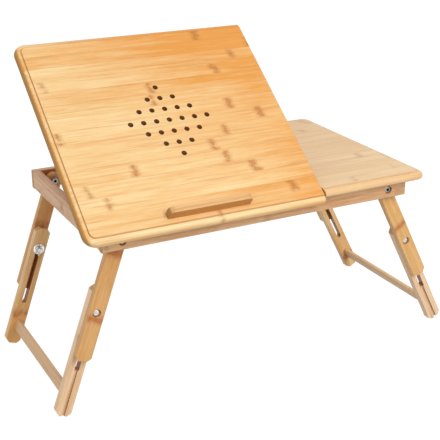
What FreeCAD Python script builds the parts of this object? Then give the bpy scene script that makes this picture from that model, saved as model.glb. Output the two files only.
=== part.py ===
import FreeCAD, Part
import os
import Sketcher

# Folding laptop stand: tilting top beside a fixed top, two pairs of folding telescopic legs, one drawer.
# X runs along the length from the middle of the feet, Y from front to back, Z up from the floor.
# Lengths in mm, angles in degrees.

DIMS = [
    # tops
    ("board_length", 550, "both tops together, along X"),
    ("board_depth", 345, "tops, along Y"),
    ("board_thick", 12, "tops"),
    ("tilt_length", 365.5, "tilting top, along X"),
    ("seam_gap", 1.5, "between the two tops"),
    ("corner_radius", 18, "outer corners of the tops, in plan"),
    ("edge_top", 7.2, "rounding of the tops' upper outer edges"),
    ("edge_low", 3, "rounding of the tops' lower outer edges"),
    ("step_inset", 9, "tops' raised field, in from the outer edges"),
    ("step_high", 1.3, "tops' raised field above the rounded edge"),
    ("vent_pitch", 20, "between vent holes"),
    ("vent_radius", 4, "vent holes"),
    ("vent_x", 183.5, "middle of the vents from the tilting top's left edge"),
    ("vent_back", 4.5, "middle of the vents behind the tilting top's middle"),
    ("stop_length", 126, "laptop stop"),
    ("stop_width", 10.5, "laptop stop"),
    ("stop_height", 15, "laptop stop"),
    ("stop_front", 16.5, "laptop stop, back from the front edge"),
    ("stop_radius", 6, "laptop stop, top corners"),
    ("stop_edge", 1, "laptop stop, long edges"),
    # rail frame
    ("overhang_left", 30, "tilting top past the frame"),
    ("overhang_right", 24, "fixed top past the frame"),
    ("overhang_front", 20, "tops past the front rail"),
    ("overhang_back", 25, "tops past the back rail"),
    ("rail_height", 28, "all four rails"),
    ("rail_thick", 11, "front and back rails"),
    ("end_thick", 12, "end rails"),
    ("rail_round", 2, "long edges and outer corners of the rails"),
    ("dowel_radius", 3, "corner dowels"),
    ("dowel_length", 30, "corner dowels"),
    ("dowel_edge", 6.5, "corner dowels from the rail's edge"),
    ("wood_fit", 0.03, "dowels, tenons and screws in their holes"),
    # legs
    ("splay_left", 19.5, "left legs from upright"),
    ("splay_right", 27.5, "right legs from upright"),
    ("pivot_height", 12.5, "leg pivots above the rails' lower edge"),
    ("stop_gap", 0.4, "spread leg to the end rail's corner"),
    ("leg_width", 24, "upper and lower legs"),
    ("leg_chamfer", 6, "leg ends, corners cut off"),
    ("leg_round", 1.5, "long edges of the legs"),
    ("leg_gap", 0.5, "rail to upper leg"),
    ("slide_gap", 0.3, "upper leg to lower leg"),
    ("upper_thick", 11, "upper legs"),
    ("upper_reach", 182, "upper legs, pivot to lower end"),
    ("lower_thick", 12.5, "lower legs"),
    ("reach_left", 272, "left pivot to foot end"),
    ("top_left", 76.5, "left pivot to the lower legs' top ends"),
    ("top_right", 87.7, "right pivot to the lower legs' top ends"),
    ("clamp_reach", 110, "pivot to clamp bolt"),
    ("rest_left", 4.5, "left clamp bolts to the upper end of their slots"),
    ("rest_right", 0.2, "right clamp bolts to the upper end of their slots"),
    ("slot_foot", 69.6, "foot end to the slot"),
    ("slot_side", 0.6, "clamp bolt in the slot, each side"),
    ("tongue_width", 3.6, "tongue on the upper leg"),
    ("tongue_high", 2.6, "tongue on the upper leg"),
    ("tongue_start", 125, "tongue's upper end, from the pivot"),
    ("tongue_length", 50, "tongue"),
    ("tongue_side", 0.3, "tongue in its groove, each side"),
    ("tongue_end", 0.5, "tongue's crest to the groove's floor"),
    ("stretcher_foot", 32, "stretcher's middle from the foot end"),
    ("stretcher_wide", 18, "stretcher, along the leg"),
    ("stretcher_thick", 7, "stretcher, across the leg"),
    ("stretcher_round", 2.6, "stretcher's long edges"),
    ("tenon_inset", 1.5, "stretcher's faces to its tenon's faces"),
    ("tenon_length", 7.5, "tenon into the leg"),
    # leg hardware
    ("bolt_radius", 3, "pivot and clamp bolts"),
    ("bolt_fit", 0.05, "bolt in a turning leg or nut"),
    ("head_radius", 5.2, "bolt heads"),
    ("head_high", 3, "bolt heads"),
    ("head_sink", 4.6, "counterbores for the heads"),
    ("head_side", 0.9, "counterbore past the head"),
    ("socket_radius", 2.3, "hexagon sockets, across corners"),
    ("socket_depth", 2, "hexagon sockets"),
    ("nut_radius", 5.7, "pivot nuts, across corners"),
    ("nut_high", 4, "pivot nuts"),
    ("nut_gap", 0.3, "pivot nut to the turning leg"),
    ("washer_radius", 8.75, "clamp washers"),
    ("washer_thick", 1.5, "clamp washers"),
    ("wing_hub", 5, "wing nut hub"),
    ("wing_hub_high", 7, "wing nut hub"),
    ("wing_span", 10, "wing nut, middle to wing tip"),
    ("wing_high", 10, "wing nut, base to wing tip"),
    ("wing_thick", 2.6, "wings"),
    ("wing_gap", 0.1, "wing nut to washer"),
    ("bolt_spare", 1.4, "clamp bolt's end past the hub"),
    # hinges of the tilting top
    ("tilt", 37.5, "tilting top above the rails"),
    ("hinge_out", 3.6, "hinge axis in front of the front rail"),
    ("hinge_drop", 3, "hinge axis below the rails' top"),
    ("lid_gap", 0.4, "closed tilting top above the rails"),
    ("hinge_left_x", 95, "middle of the left hinge from the tilting top's left edge"),
    ("hinge_right_x", 295, "middle of the right hinge from the tilting top's left edge"),
    ("hinge_length", 40, "hinges"),
    ("knuckle_radius", 2.6, "hinge knuckles"),
    ("knuckle_play", 0.3, "between neighbouring knuckles"),
    ("knuckle_middle", 16, "rail leaf's knuckle"),
    ("pin_radius", 1.2, "hinge pins"),
    ("pin_fit", 0.05, "hinge pin in its knuckles"),
    ("leaf_thick", 1.2, "hinge leaves"),
    ("rail_leaf_end", 13, "rail leaf's lower edge below the axis"),
    ("top_leaf_end", 13, "top leaf's front edge before the axis"),
    ("leaf_screw_x", 12, "hinge screws from the hinge's middle"),
    ("leaf_screw_back", 8.5, "hinge screws from the axis"),
    # wood screws
    ("screw_radius", 1.5, "wood screws"),
    ("screw_head", 2.8, "wood screw heads"),
    ("screw_head_high", 1.1, "wood screw heads"),
    ("hinge_screw_long", 8, "hinge screws with head"),
    ("top_screw_grip", 7, "screws into the underside of a top"),
    # prop of the tilting top
    ("stay_pivot_y", -40, "prop's pivot"),
    ("stay_drop", 3, "prop's pivot below the hinge axis"),
    ("stay_radius", 2.5, "prop's wire"),
    ("stay_bend", 5, "prop's bends, at the wire's middle"),
    ("stay_end", 6, "prop's ends in their holes"),
    ("stay_side", 6, "prop's arms to the end rail and the batten"),
    ("stay_fit", 0.05, "prop's ends in their holes"),
    ("track_thick", 10, "slotted tracks"),
    ("track_side", 13, "tracks' middle in from the prop's arms"),
    ("track_deep", 12, "slotted tracks, below the top"),
    ("track_wall", 8, "slotted tracks past the slot's ends"),
    ("track_play", 0.45, "prop's bar in the slot, above and below"),
    ("notch_rise", 0.9, "resting notches above the slot's middle"),
    ("notch_step", 7, "tilt between two notches"),
    # drawer
    ("strip_high", 6, "right end rail above the drawer"),
    ("drawer_margin", 56.4, "drawer front's ends in from the long rails' outer faces"),
    ("drawer_play", 0.4, "drawer front in its opening"),
    ("drawer_front_thick", 11, "drawer front"),
    ("drawer_side_thick", 6, "drawer sides"),
    ("drawer_side_in", 4, "drawer sides in from the drawer front's ends"),
    ("drawer_back_thick", 8, "drawer back"),
    ("drawer_back_rise", 4.8, "drawer back above the sides"),
    ("drawer_panel_thick", 3, "drawer bottom"),
    ("drawer_panel_up", 2, "drawer bottom above the sides' lower edge"),
    ("drawer_panel_in", 2, "drawer bottom into its grooves"),
    ("guide_wall", 8, "drawer guides"),
    ("guide_lip", 6, "drawer guides, under the sides"),
    ("guide_lip_high", 2.5, "drawer guides' lips"),
    ("guide_play", 0.4, "drawer in its guides"),
    ("guide_screw_in", 20, "guide screws from the guides' ends"),
    ("knob_radius", 8, "drawer knob"),
    ("knob_neck", 5, "drawer knob's neck"),
    ("knob_long", 14, "drawer knob"),
    ("knob_head", 8, "drawer knob's head"),
    ("knob_round", 2.4, "drawer knob's rim"),
    ("knob_screw_long", 22, "knob screw with head"),
    # batten under the seam
    ("batten_left", 16.5, "batten left of the tilting top's edge"),
    ("batten_right", 12, "batten under the fixed top"),
    ("batten_margin", 50, "batten's ends in from the long rails' outer faces"),
    ("batten_high", 10, "batten"),
    ("batten_screw_y", 70, "batten screws from the middle"),
]

WORKED = [
    ("half_depth", "(dims.board_depth - dims.overhang_front - dims.overhang_back) / 2"),
    ("frame_length", "dims.board_length - dims.overhang_left - dims.overhang_right"),
    ("leg_half", "dims.leg_width / 2"),
    ("foot_half", "worked.leg_half - dims.leg_chamfer"),
    ("pivot_z", "dims.reach_left * cos(dims.splay_left) + worked.foot_half * sin(dims.splay_left)"),
    ("reach_right", "(worked.pivot_z - worked.foot_half * sin(dims.splay_right)) / cos(dims.splay_right)"),
    ("rail_low", "worked.pivot_z - dims.pivot_height"),
    ("rail_top", "worked.rail_low + dims.rail_height"),
    ("inset_left", "dims.end_thick + dims.stop_gap + dims.pivot_height * tan(dims.splay_left)"
                   " + worked.leg_half / cos(dims.splay_left)"),
    ("inset_right", "dims.end_thick + dims.stop_gap + dims.pivot_height * tan(dims.splay_right)"
                    " + worked.leg_half / cos(dims.splay_right)"),
    ("foot_left", "dims.overhang_left + worked.inset_left - worked.leg_half * cos(dims.splay_left)"
                  " - (dims.reach_left - dims.leg_chamfer) * sin(dims.splay_left)"),
    ("foot_right", "dims.overhang_left + worked.frame_length - worked.inset_right"
                   " + worked.leg_half * cos(dims.splay_right)"
                   " + (worked.reach_right - dims.leg_chamfer) * sin(dims.splay_right)"),
    ("tilt_left", "-(worked.foot_left + worked.foot_right) / 2"),
    ("tilt_right", "worked.tilt_left + dims.tilt_length"),
    ("fixed_left", "worked.tilt_right + dims.seam_gap"),
    ("fixed_right", "worked.tilt_left + dims.board_length"),
    ("fixed_front", "-worked.half_depth - dims.overhang_front"),
    ("frame_left", "worked.tilt_left + dims.overhang_left"),
    ("frame_right", "worked.frame_left + worked.frame_length"),
    ("pivot_left_x", "worked.frame_left + worked.inset_left"),
    ("pivot_right_x", "worked.frame_right - worked.inset_right"),
    ("rail_in", "worked.half_depth - dims.rail_thick"),
    ("upper_out", "worked.rail_in - dims.leg_gap"),
    ("upper_in", "worked.upper_out - dims.upper_thick"),
    ("lower_out", "worked.upper_in - dims.slide_gap"),
    ("lower_in", "worked.lower_out - dims.lower_thick"),
    ("washer_in", "worked.lower_in - dims.washer_thick"),
    ("wing_base", "worked.washer_in - dims.wing_gap"),
    ("tenon_wide", "dims.stretcher_wide - 2 * dims.tenon_inset"),
    ("tenon_thick", "dims.stretcher_thick - 2 * dims.tenon_inset"),
    ("groove_deep", "dims.tongue_high + dims.tongue_end - dims.slide_gap"),
    ("hinge_y", "-worked.half_depth - dims.hinge_out"),
    ("hinge_z", "worked.rail_top - dims.hinge_drop"),
    ("lid_low", "dims.hinge_drop + dims.lid_gap"),
    ("lid_front", "dims.hinge_out - dims.overhang_front"),
    ("stay_arm", "dims.stay_pivot_y - worked.hinge_y"),
    ("stay_z", "worked.hinge_z - dims.stay_drop"),
    ("stay_left", "worked.frame_left + dims.end_thick + dims.stay_side"),
    ("stay_right", "worked.tilt_right - dims.batten_left - dims.stay_side"),
    ("slot_half", "dims.stay_radius + dims.track_play"),
    ("batten_half", "worked.half_depth - dims.batten_margin"),
    ("drawer_half", "worked.half_depth - dims.drawer_margin"),
    ("drawer_side_out", "worked.drawer_half - dims.drawer_side_in"),
    ("opening_half", "worked.drawer_half + dims.drawer_play"),
    ("drawer_top", "worked.rail_top - dims.strip_high - dims.drawer_play"),
    ("drawer_back_x", "worked.tilt_right + dims.seam_gap + dims.batten_right + dims.drawer_play"),
    ("guide_out", "worked.drawer_side_out + dims.guide_play + dims.guide_wall"),
    ("guide_end_x", "worked.frame_right - dims.end_thick - dims.drawer_play"),
    ("guide_in", "worked.drawer_side_out - dims.guide_lip"),
    ("drawer_low", "worked.rail_low + dims.guide_lip_high + dims.drawer_play"),
    ("panel_half", "worked.drawer_side_out - dims.drawer_side_thick + dims.drawer_panel_in"),
    ("front_low", "worked.rail_low + dims.drawer_play"),
    ("knob_z", "(worked.front_low + worked.drawer_top) / 2"),
    ("front_in_x", "worked.frame_right - dims.drawer_front_thick"),
]

ENDS = {"front": -1, "back": 1}
SIDES = {
    "left": ("dims.splay_left", "worked.pivot_left_x", "dims.reach_left"),
    "right": ("-dims.splay_right", "worked.pivot_right_x", "worked.reach_right"),
}
WING_ANGLES = {"front_left": 25, "back_left": 5, "front_right": 50, "back_right": -20}

doc = FreeCAD.newDocument("laptop_stand")


def add_sheet(name):
    return doc.addObject("Spreadsheet::Sheet", name)


def fill_sheet(sheet, rows):
    """Write one row per value: its alias, the cell that has that alias, and an optional note."""
    for number, (alias, content, *note) in enumerate(rows, 1):
        sheet.set(f"A{number}", alias)
        sheet.set(f"B{number}", content)
        sheet.setAlias(f"B{number}", alias)
        sheet.set(f"C{number}", " ".join(note))


dims = add_sheet("dims")
fill_sheet(dims, [(alias, str(value), note) for alias, value, note in DIMS])
worked = add_sheet("worked")
fill_sheet(worked, [(alias, "=" + formula.replace("worked.", "")) for alias, formula in WORKED])
doc.recompute()

# ---------------------------------------------------------------- helpers

PLANES = {"X": "YZ_Plane", "Y": "XZ_Plane", "Z": "XY_Plane"}
NORMAL_SIGN = {"X": "", "Y": "-", "Z": ""}
outputs = []


def value(expression):
    result = dims.evalExpression(expression)
    return float(getattr(result, "Value", result))


def new_body(label, several=False):
    """A body whose label names its node; several allows separate solids in it."""
    body = doc.addObject("PartDesign::Body", label)
    body.Label = label
    body.AllowCompound = several
    outputs.append(body)
    return body


def new_sketch(body, axis, low):
    """A sketch square to the axis, at the height low along it."""
    role = PLANES[axis]
    plane = next(f for f in body.Origin.OriginFeatures if f.Role == role)
    sketch = body.newObject("Sketcher::SketchObject", f"{body.Label}_sketch")
    sketch.AttachmentSupport = [(plane, "")]
    sketch.MapMode = "FlatFace"
    sketch.setExpression("AttachmentOffset.Base.z", f"{NORMAL_SIGN[axis]}({low})")
    return sketch


def bind(sketch, kind, arguments, expression):
    """Add a dimension to the sketch and tie it to an expression."""
    index = sketch.addConstraint(Sketcher.Constraint(kind, *arguments, value(expression)))
    sketch.setExpression(f"Constraints[{index}]", expression)


def bind_point(sketch, geometry, end, point):
    bind(sketch, "DistanceX", (-1, 1, geometry, end), point[0])
    bind(sketch, "DistanceY", (-1, 1, geometry, end), point[1])


def polygon(sketch, points):
    """A closed outline whose corners are tied to expressions."""
    places = [FreeCAD.Vector(value(a), value(b), 0) for a, b in points]
    count = len(points)
    first = sketch.GeometryCount
    for number in range(count):
        sketch.addGeometry(Part.LineSegment(places[number], places[(number + 1) % count]))
    for number in range(count):
        after = first + (number + 1) % count
        sketch.addConstraint(Sketcher.Constraint("Coincident", first + number, 2, after, 1))
    for number, point in enumerate(points):
        bind_point(sketch, first + number, 1, point)


def rectangle(sketch, low, high):
    polygon(sketch, [low, (high[0], low[1]), high, (low[0], high[1])])


def circles(sketch, points, radius):
    for point in points:
        centre = FreeCAD.Vector(value(point[0]), value(point[1]), 0)
        circle = Part.Circle(centre, FreeCAD.Vector(0, 0, 1), value(radius))
        geometry = sketch.addGeometry(circle)
        bind_point(sketch, geometry, 3, point)
        bind(sketch, "Radius", (geometry,), radius)


def rounded_path(sketch, points, radius, closed):
    """Lines square to each other through the points, with an arc of one radius at each corner."""
    places = [FreeCAD.Vector(value(a), value(b), 0) for a, b in points]
    size = value(radius)
    count = len(points)
    spans = count if closed else count - 1
    lines = []
    for number in range(spans):
        start, end = places[number], places[(number + 1) % count]
        along = (end - start).normalize()
        head = start + along * size if closed or number > 0 else start
        tail = end - along * size if closed or number < spans - 1 else end
        geometry = sketch.addGeometry(Part.LineSegment(head, tail))
        lines.append((geometry, along, head, tail))
        upright = abs(along.x) < abs(along.y)
        sketch.addConstraint(Sketcher.Constraint("Vertical" if upright else "Horizontal", geometry))
        kind, which = ("DistanceX", 0) if upright else ("DistanceY", 1)
        bind(sketch, kind, (-1, 1, geometry, 1), points[number][which])
    arcs = []
    for number in range(spans if closed else spans - 1):
        before, after = lines[number], lines[(number + 1) % spans]
        left_turn = before[1].x * after[1].y - before[1].y * after[1].x > 0
        centre = before[3] + after[1] * size
        circle = Part.Circle(centre, FreeCAD.Vector(0, 0, 1), size)
        one, two = (before[3], after[2]) if left_turn else (after[2], before[3])
        arc = sketch.addGeometry(Part.ArcOfCircle(circle, circle.parameter(one), circle.parameter(two)))
        near, far = (1, 2) if left_turn else (2, 1)
        sketch.addConstraint(Sketcher.Constraint("Tangent", before[0], 2, arc, near))
        sketch.addConstraint(Sketcher.Constraint("Tangent", arc, far, after[0], 1))
        arcs.append(arc)
    bind(sketch, "Radius", (arcs[0],), radius)
    for arc in arcs[1:]:
        sketch.addConstraint(Sketcher.Constraint("Equal", arcs[0], arc))
    if not closed:
        for geometry, end, point in ((lines[0][0], 1, points[0]), (lines[-1][0], 2, points[-1])):
            upright = abs(lines[0][1].x) < abs(lines[0][1].y)
            kind, which = ("DistanceY", 1) if upright else ("DistanceX", 0)
            bind(sketch, kind, (-1, 1, geometry, end), point[which])


def finish(body, feature):
    """Recompute after a feature and refuse one that FreeCAD marks as broken."""
    doc.recompute()
    if "Invalid" in feature.State or "Error" in feature.State:
        raise RuntimeError(f"{body.Label}: {feature.Name} {feature.getStatusString()}")
    return feature


def pad(body, axis, sketch, length):
    """Grow the sketch up its axis."""
    feature = body.newObject("PartDesign::Pad", f"{body.Label}_pad")
    feature.Profile = sketch
    feature.setExpression("Length", length)
    feature.Reversed = axis == "Y"
    sketch.Visibility = False
    return finish(body, feature)


def pocket(body, axis, sketch, length):
    """Cut the sketch up its axis, and make sure that it took material away."""
    before = body.Shape.Volume
    feature = body.newObject("PartDesign::Pocket", f"{body.Label}_pocket")
    feature.Profile = sketch
    feature.setExpression("Length", length)
    feature.Reversed = axis != "Y"
    sketch.Visibility = False
    finish(body, feature)
    if body.Shape.Volume >= before - 1e-6:
        raise RuntimeError(f"{body.Label}: {feature.Name} cuts nothing")
    return feature


def block(body, axis, low, length, corner, opposite):
    sketch = new_sketch(body, axis, low)
    rectangle(sketch, corner, opposite)
    return pad(body, axis, sketch, length)


def carve(body, axis, low, length, corner, opposite):
    sketch = new_sketch(body, axis, low)
    rectangle(sketch, corner, opposite)
    return pocket(body, axis, sketch, length)


def rods(body, axis, low, length, points, radius):
    sketch = new_sketch(body, axis, low)
    circles(sketch, points, radius)
    return pad(body, axis, sketch, length)


def bores(body, axis, low, length, points, radius):
    sketch = new_sketch(body, axis, low)
    circles(sketch, points, radius)
    return pocket(body, axis, sketch, length)


def round_edges(body, radius, wanted):
    """Fillet the edges of the body's tip that the test wanted picks."""
    base = body.Tip
    names = [f"Edge{n}" for n, edge in enumerate(base.Shape.Edges, 1) if wanted(edge)]
    if not names:
        raise RuntimeError(f"{body.Label}: no edge to round")
    feature = body.newObject("PartDesign::Fillet", f"{body.Label}_round")
    feature.Base = (base, names)
    feature.setExpression("Radius", radius)
    return finish(body, feature)


def runs_along(edge, axis):
    """Whether the edge is a straight line along the axis."""
    if not isinstance(edge.Curve, (Part.Line, Part.LineSegment)):
        return False
    return abs(abs(edge.tangentAt(edge.FirstParameter)[axis]) - 1) < 1e-6


def lies_at(edge, axis, place):
    box = edge.BoundBox
    low = (box.XMin, box.YMin, box.ZMin)[axis]
    high = (box.XMax, box.YMax, box.ZMax)[axis]
    return abs(low - place) < 1e-4 and abs(high - place) < 1e-4


def place(obj, base, turn_axis=None, turn=None):
    """Tie an object's placement to expressions: where it stands, and how far it is turned."""
    if turn_axis:
        rotation = FreeCAD.Rotation(FreeCAD.Vector(*turn_axis), value(turn))
        obj.Placement = FreeCAD.Placement(FreeCAD.Vector(), rotation)
        obj.setExpression("Placement.Rotation.Angle", turn)
    for letter, expression in zip("xyz", base):
        obj.setExpression(f"Placement.Base.{letter}", expression)


def on_hinge(body):
    """Turn a piece that is drawn closed, from the hinge axis, up to the tilt."""
    place(body, ("0", "worked.hinge_y", "worked.hinge_z"), (1, 0, 0), "dims.tilt")


def on_leg(body, side):
    """Spread a piece that is drawn upright, down from the pivot, by the splay of its side."""
    splay, pivot_x, _ = SIDES[side]
    place(body, (pivot_x, "0", "worked.pivot_z"), (0, 1, 0), splay)


def band(end, near, far):
    """The lower Y of a piece between two distances from the middle, at the front or the back."""
    return f"-({far})" if ENDS[end] < 0 else f"{near}"


# ---------------------------------------------------------------- fixed and tilting tops


def top_board(label, left, right, front, low, open_side, corner_side):
    """A top with rounded outer corners, and with a step down to its rounded edges, except at the seam."""
    body = new_body(label)
    back = f"{front} + dims.board_depth"
    block(body, "Z", low, "dims.board_thick", (left, front), (right, back))
    corner_x = value(corner_side)
    round_edges(body, "dims.corner_radius", lambda e: runs_along(e, 2) and lies_at(e, 0, corner_x))
    # the step is cut outside a rounded field that runs out past the seam
    reach = "dims.step_inset"
    ledge = f"{low} + dims.board_thick - dims.step_high"
    step = new_sketch(body, "Z", ledge)
    rectangle(step, (f"{left} - 2 * {reach}", f"{front} - 2 * {reach}"),
              (f"{right} + 2 * {reach}", f"{back} + 2 * {reach}"))
    signs = "-+" if value(open_side) < corner_x else "+-"
    first, last = (f"{x} {sign} {reach}" for x, sign in zip((left, right), signs[0] + signs[0]))
    near, far = f"{front} + {reach}", f"{back} - {reach}"
    rounded_path(step, [(first, near), (last, near), (last, far), (first, far)],
                 "dims.corner_radius - dims.step_inset", True)
    pocket(body, "Z", step, "dims.step_high")
    rims = [(1, value(front)), (1, value(back)), (0, corner_x)]
    for level, radius in ((ledge, "dims.edge_top"), (low, "dims.edge_low")):
        height = value(level)
        round_edges(body, radius, lambda e: lies_at(e, 2, height)
                    and any(lies_at(e, axis, rim) for axis, rim in rims))
    return body


fixed_top = top_board("fixed_top", "worked.fixed_left", "worked.fixed_right", "worked.fixed_front",
                      "worked.rail_top", "worked.fixed_left", "worked.fixed_right")

tilt_top = top_board("tilt_top", "worked.tilt_left", "worked.tilt_right", "worked.lid_front",
                     "worked.lid_low", "worked.tilt_right", "worked.tilt_left")
on_hinge(tilt_top)

# the vents fill a square that stands on its corner
VENT_RINGS = 3
vents = [(f"worked.tilt_left + dims.vent_x + {i} * dims.vent_pitch",
          f"worked.lid_front + dims.board_depth / 2 + dims.vent_back + {j} * dims.vent_pitch")
         for i in range(-VENT_RINGS, VENT_RINGS + 1) for j in range(-VENT_RINGS, VENT_RINGS + 1)
         if abs(i) + abs(j) <= VENT_RINGS]
bores(tilt_top, "Z", "worked.lid_low", "dims.board_thick", vents, "dims.vent_radius")

laptop_stop = new_body("laptop_stop")
stop_mid = "worked.tilt_left + dims.vent_x"
stop_base = "worked.lid_low + dims.board_thick"
stop_y = "worked.lid_front + dims.stop_front"
block(laptop_stop, "Z", stop_base, "dims.stop_height",
      (f"{stop_mid} - dims.stop_length / 2", stop_y),
      (f"{stop_mid} + dims.stop_length / 2", f"{stop_y} + dims.stop_width"))
stop_top_z = value(f"{stop_base} + dims.stop_height")
round_edges(laptop_stop, "dims.stop_radius", lambda e: runs_along(e, 1) and lies_at(e, 2, stop_top_z))
round_edges(laptop_stop, "dims.stop_edge", lambda e: runs_along(e, 0) and lies_at(e, 2, stop_top_z))
on_hinge(laptop_stop)

stop_screw_points = [(f"{stop_mid} + {s} * dims.stop_length / 3", f"{stop_y} + dims.stop_width / 2")
                     for s in (-1, 1)]
bores(laptop_stop, "Z", stop_base, "dims.top_screw_grip", stop_screw_points,
      "dims.screw_radius + dims.wood_fit")
bores(tilt_top, "Z", "worked.lid_low", "dims.board_thick", stop_screw_points,
      "dims.screw_radius + dims.wood_fit")
bores(tilt_top, "Z", "worked.lid_low", "dims.screw_head_high", stop_screw_points,
      "dims.screw_head + dims.wood_fit")


def wood_screws(label, axis, groups):
    """Screws as separate solids of one node; a group has its head's place, its tip's place and points.

    Each group is (low, length, head at the low end, points), all along the axis.
    """
    body = new_body(label, several=True)
    for low, length, head_low, points in groups:
        rods(body, axis, low, length, points, "dims.screw_radius")
        head = low if head_low else f"{low} + {length} - dims.screw_head_high"
        rods(body, axis, head, "dims.screw_head_high", points, "dims.screw_head")
    return body


stop_screws = wood_screws("laptop_stop_screws", "Z", [
    ("worked.lid_low", "dims.board_thick + dims.top_screw_grip", True, stop_screw_points)])
on_hinge(stop_screws)

# ---------------------------------------------------------------- rail frame

RAIL_LOW = "worked.rail_low"
PIVOTS = [("worked.pivot_left_x", "worked.pivot_z"), ("worked.pivot_right_x", "worked.pivot_z")]
dowel_points = [(f"{x} {s} dims.end_thick / 2", z)
                for x, s in (("worked.frame_left", "+"), ("worked.frame_right", "-"))
                for z in ("worked.rail_low + dims.dowel_edge", "worked.rail_top - dims.dowel_edge")]


def long_rail(end):
    """Front or back rail, with counterbores for the pivot bolts and holes for the corner dowels."""
    body = new_body(f"{end}_rail")
    low = band(end, "worked.rail_in", "worked.half_depth")
    block(body, "X", "worked.frame_left", "worked.frame_length", (low, RAIL_LOW),
          (f"{low} + dims.rail_thick", "worked.rail_top"))
    outer_y = ENDS[end] * value("worked.half_depth")
    low_z = value(RAIL_LOW)
    round_edges(body, "dims.rail_round", lambda e: lies_at(e, 1, outer_y)
                and (runs_along(e, 2) or (runs_along(e, 0) and lies_at(e, 2, low_z))))
    bores(body, "Y", low, "dims.rail_thick", PIVOTS, "dims.bolt_radius + dims.wood_fit")
    sink = band(end, "worked.half_depth - dims.head_sink", "worked.half_depth")
    bores(body, "Y", sink, "dims.head_sink", PIVOTS, "dims.head_radius + dims.head_side")
    bores(body, "Y", low, "dims.rail_thick", dowel_points, "dims.dowel_radius + dims.wood_fit")
    return body


for end_name in ENDS:
    long_rail(end_name)


def end_rail(side, left):
    """End rail between the long rails; its ends take the corner dowels."""
    body = new_body(f"{side}_end_rail")
    block(body, "X", left, "dims.end_thick", ("-worked.rail_in", RAIL_LOW),
          ("worked.rail_in", "worked.rail_top"))
    grip = "dims.dowel_length - dims.rail_thick"
    points = [p for p in dowel_points if (side == "left") == ("frame_left" in p[0])]
    hole = "dims.dowel_radius + dims.wood_fit"
    bores(body, "Y", "-worked.rail_in", grip, points, hole)
    bores(body, "Y", f"worked.rail_in - ({grip})", grip, points, hole)
    outer_x = value("worked.frame_left" if side == "left" else "worked.frame_right")
    low_z = value(RAIL_LOW)
    round_edges(body, "dims.rail_round", lambda e: runs_along(e, 1) and lies_at(e, 0, outer_x)
                and lies_at(e, 2, low_z))
    return body


left_end = end_rail("left", "worked.frame_left")
STAY_PIVOT = ("dims.stay_pivot_y", "worked.stay_z")
stay_hole = "dims.stay_end + dims.stop_gap"
bores(left_end, "X", f"worked.frame_left + dims.end_thick - ({stay_hole})", stay_hole, [STAY_PIVOT],
      "dims.stay_radius + dims.stay_fit")

right_end = end_rail("right", "worked.frame_right - dims.end_thick")
carve(right_end, "X", "worked.frame_right - dims.end_thick", "dims.end_thick",
      ("-worked.opening_half", f"{RAIL_LOW} - dims.strip_high"),
      ("worked.opening_half", "worked.rail_top - dims.strip_high"))

dowels = new_body("corner_dowels", several=True)
for end_name in ENDS:
    rods(dowels, "Y", band(end_name, "worked.half_depth - dims.dowel_length", "worked.half_depth"),
         "dims.dowel_length", dowel_points, "dims.dowel_radius")

# ---------------------------------------------------------------- batten under the seam

batten = new_body("seam_batten")
batten_x = "worked.tilt_right - dims.batten_left"
batten_long = "dims.batten_left + dims.seam_gap + dims.batten_right"
block(batten, "X", batten_x, batten_long, ("-worked.batten_half", "worked.rail_top - dims.batten_high"),
      ("worked.batten_half", "worked.rail_top"))
bores(batten, "X", batten_x, stay_hole, [STAY_PIVOT], "dims.stay_radius + dims.stay_fit")
batten_points = [("worked.fixed_left + dims.batten_right / 2", f"{s} * dims.batten_screw_y")
                 for s in (-1, 0, 1)]
batten_low = "worked.rail_top - dims.batten_high"
bores(batten, "Z", batten_low, "dims.batten_high", batten_points, "dims.screw_radius + dims.wood_fit")
bores(batten, "Z", batten_low, "dims.screw_head_high", batten_points, "dims.screw_head + dims.wood_fit")
bores(fixed_top, "Z", "worked.rail_top", "dims.top_screw_grip", batten_points,
      "dims.screw_radius + dims.wood_fit")
wood_screws("seam_batten_screws", "Z", [
    (batten_low, "dims.batten_high + dims.top_screw_grip", True, batten_points)])

# ---------------------------------------------------------------- drawer guides and drawer

GUIDE_X = "worked.drawer_back_x"
GUIDE_LONG = "(worked.guide_end_x - worked.drawer_back_x)"


def drawer_guide(end):
    """An L-shaped guide that hangs from the fixed top and carries one drawer side on its lip."""
    body = new_body(f"{end}_drawer_guide")
    sign = ENDS[end]
    sketch = new_sketch(body, "X", GUIDE_X)
    wall_in = "worked.drawer_side_out + dims.guide_play"
    shape = [("worked.guide_out", RAIL_LOW), ("worked.guide_out", "worked.rail_top"),
             (wall_in, "worked.rail_top"), (wall_in, f"{RAIL_LOW} + dims.guide_lip_high"),
             ("worked.guide_in", f"{RAIL_LOW} + dims.guide_lip_high"), ("worked.guide_in", RAIL_LOW)]
    polygon(sketch, [(f"{sign} * ({y})", z) for y, z in shape])
    pad(body, "X", sketch, GUIDE_LONG)
    points = [(x, f"{sign} * (worked.guide_out - dims.guide_wall / 2)")
              for x in (f"{GUIDE_X} + dims.guide_screw_in", "worked.guide_end_x - dims.guide_screw_in")]
    bores(body, "Z", RAIL_LOW, "dims.rail_height", points, "dims.screw_radius + dims.wood_fit")
    bores(body, "Z", RAIL_LOW, "dims.screw_head_high", points, "dims.screw_head + dims.wood_fit")
    return points


guide_points = drawer_guide("front") + drawer_guide("back")
bores(fixed_top, "Z", "worked.rail_top", "dims.top_screw_grip", guide_points,
      "dims.screw_radius + dims.wood_fit")
wood_screws("drawer_guide_screws", "Z", [
    (RAIL_LOW, "dims.rail_height + dims.top_screw_grip", True, guide_points)])

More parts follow.
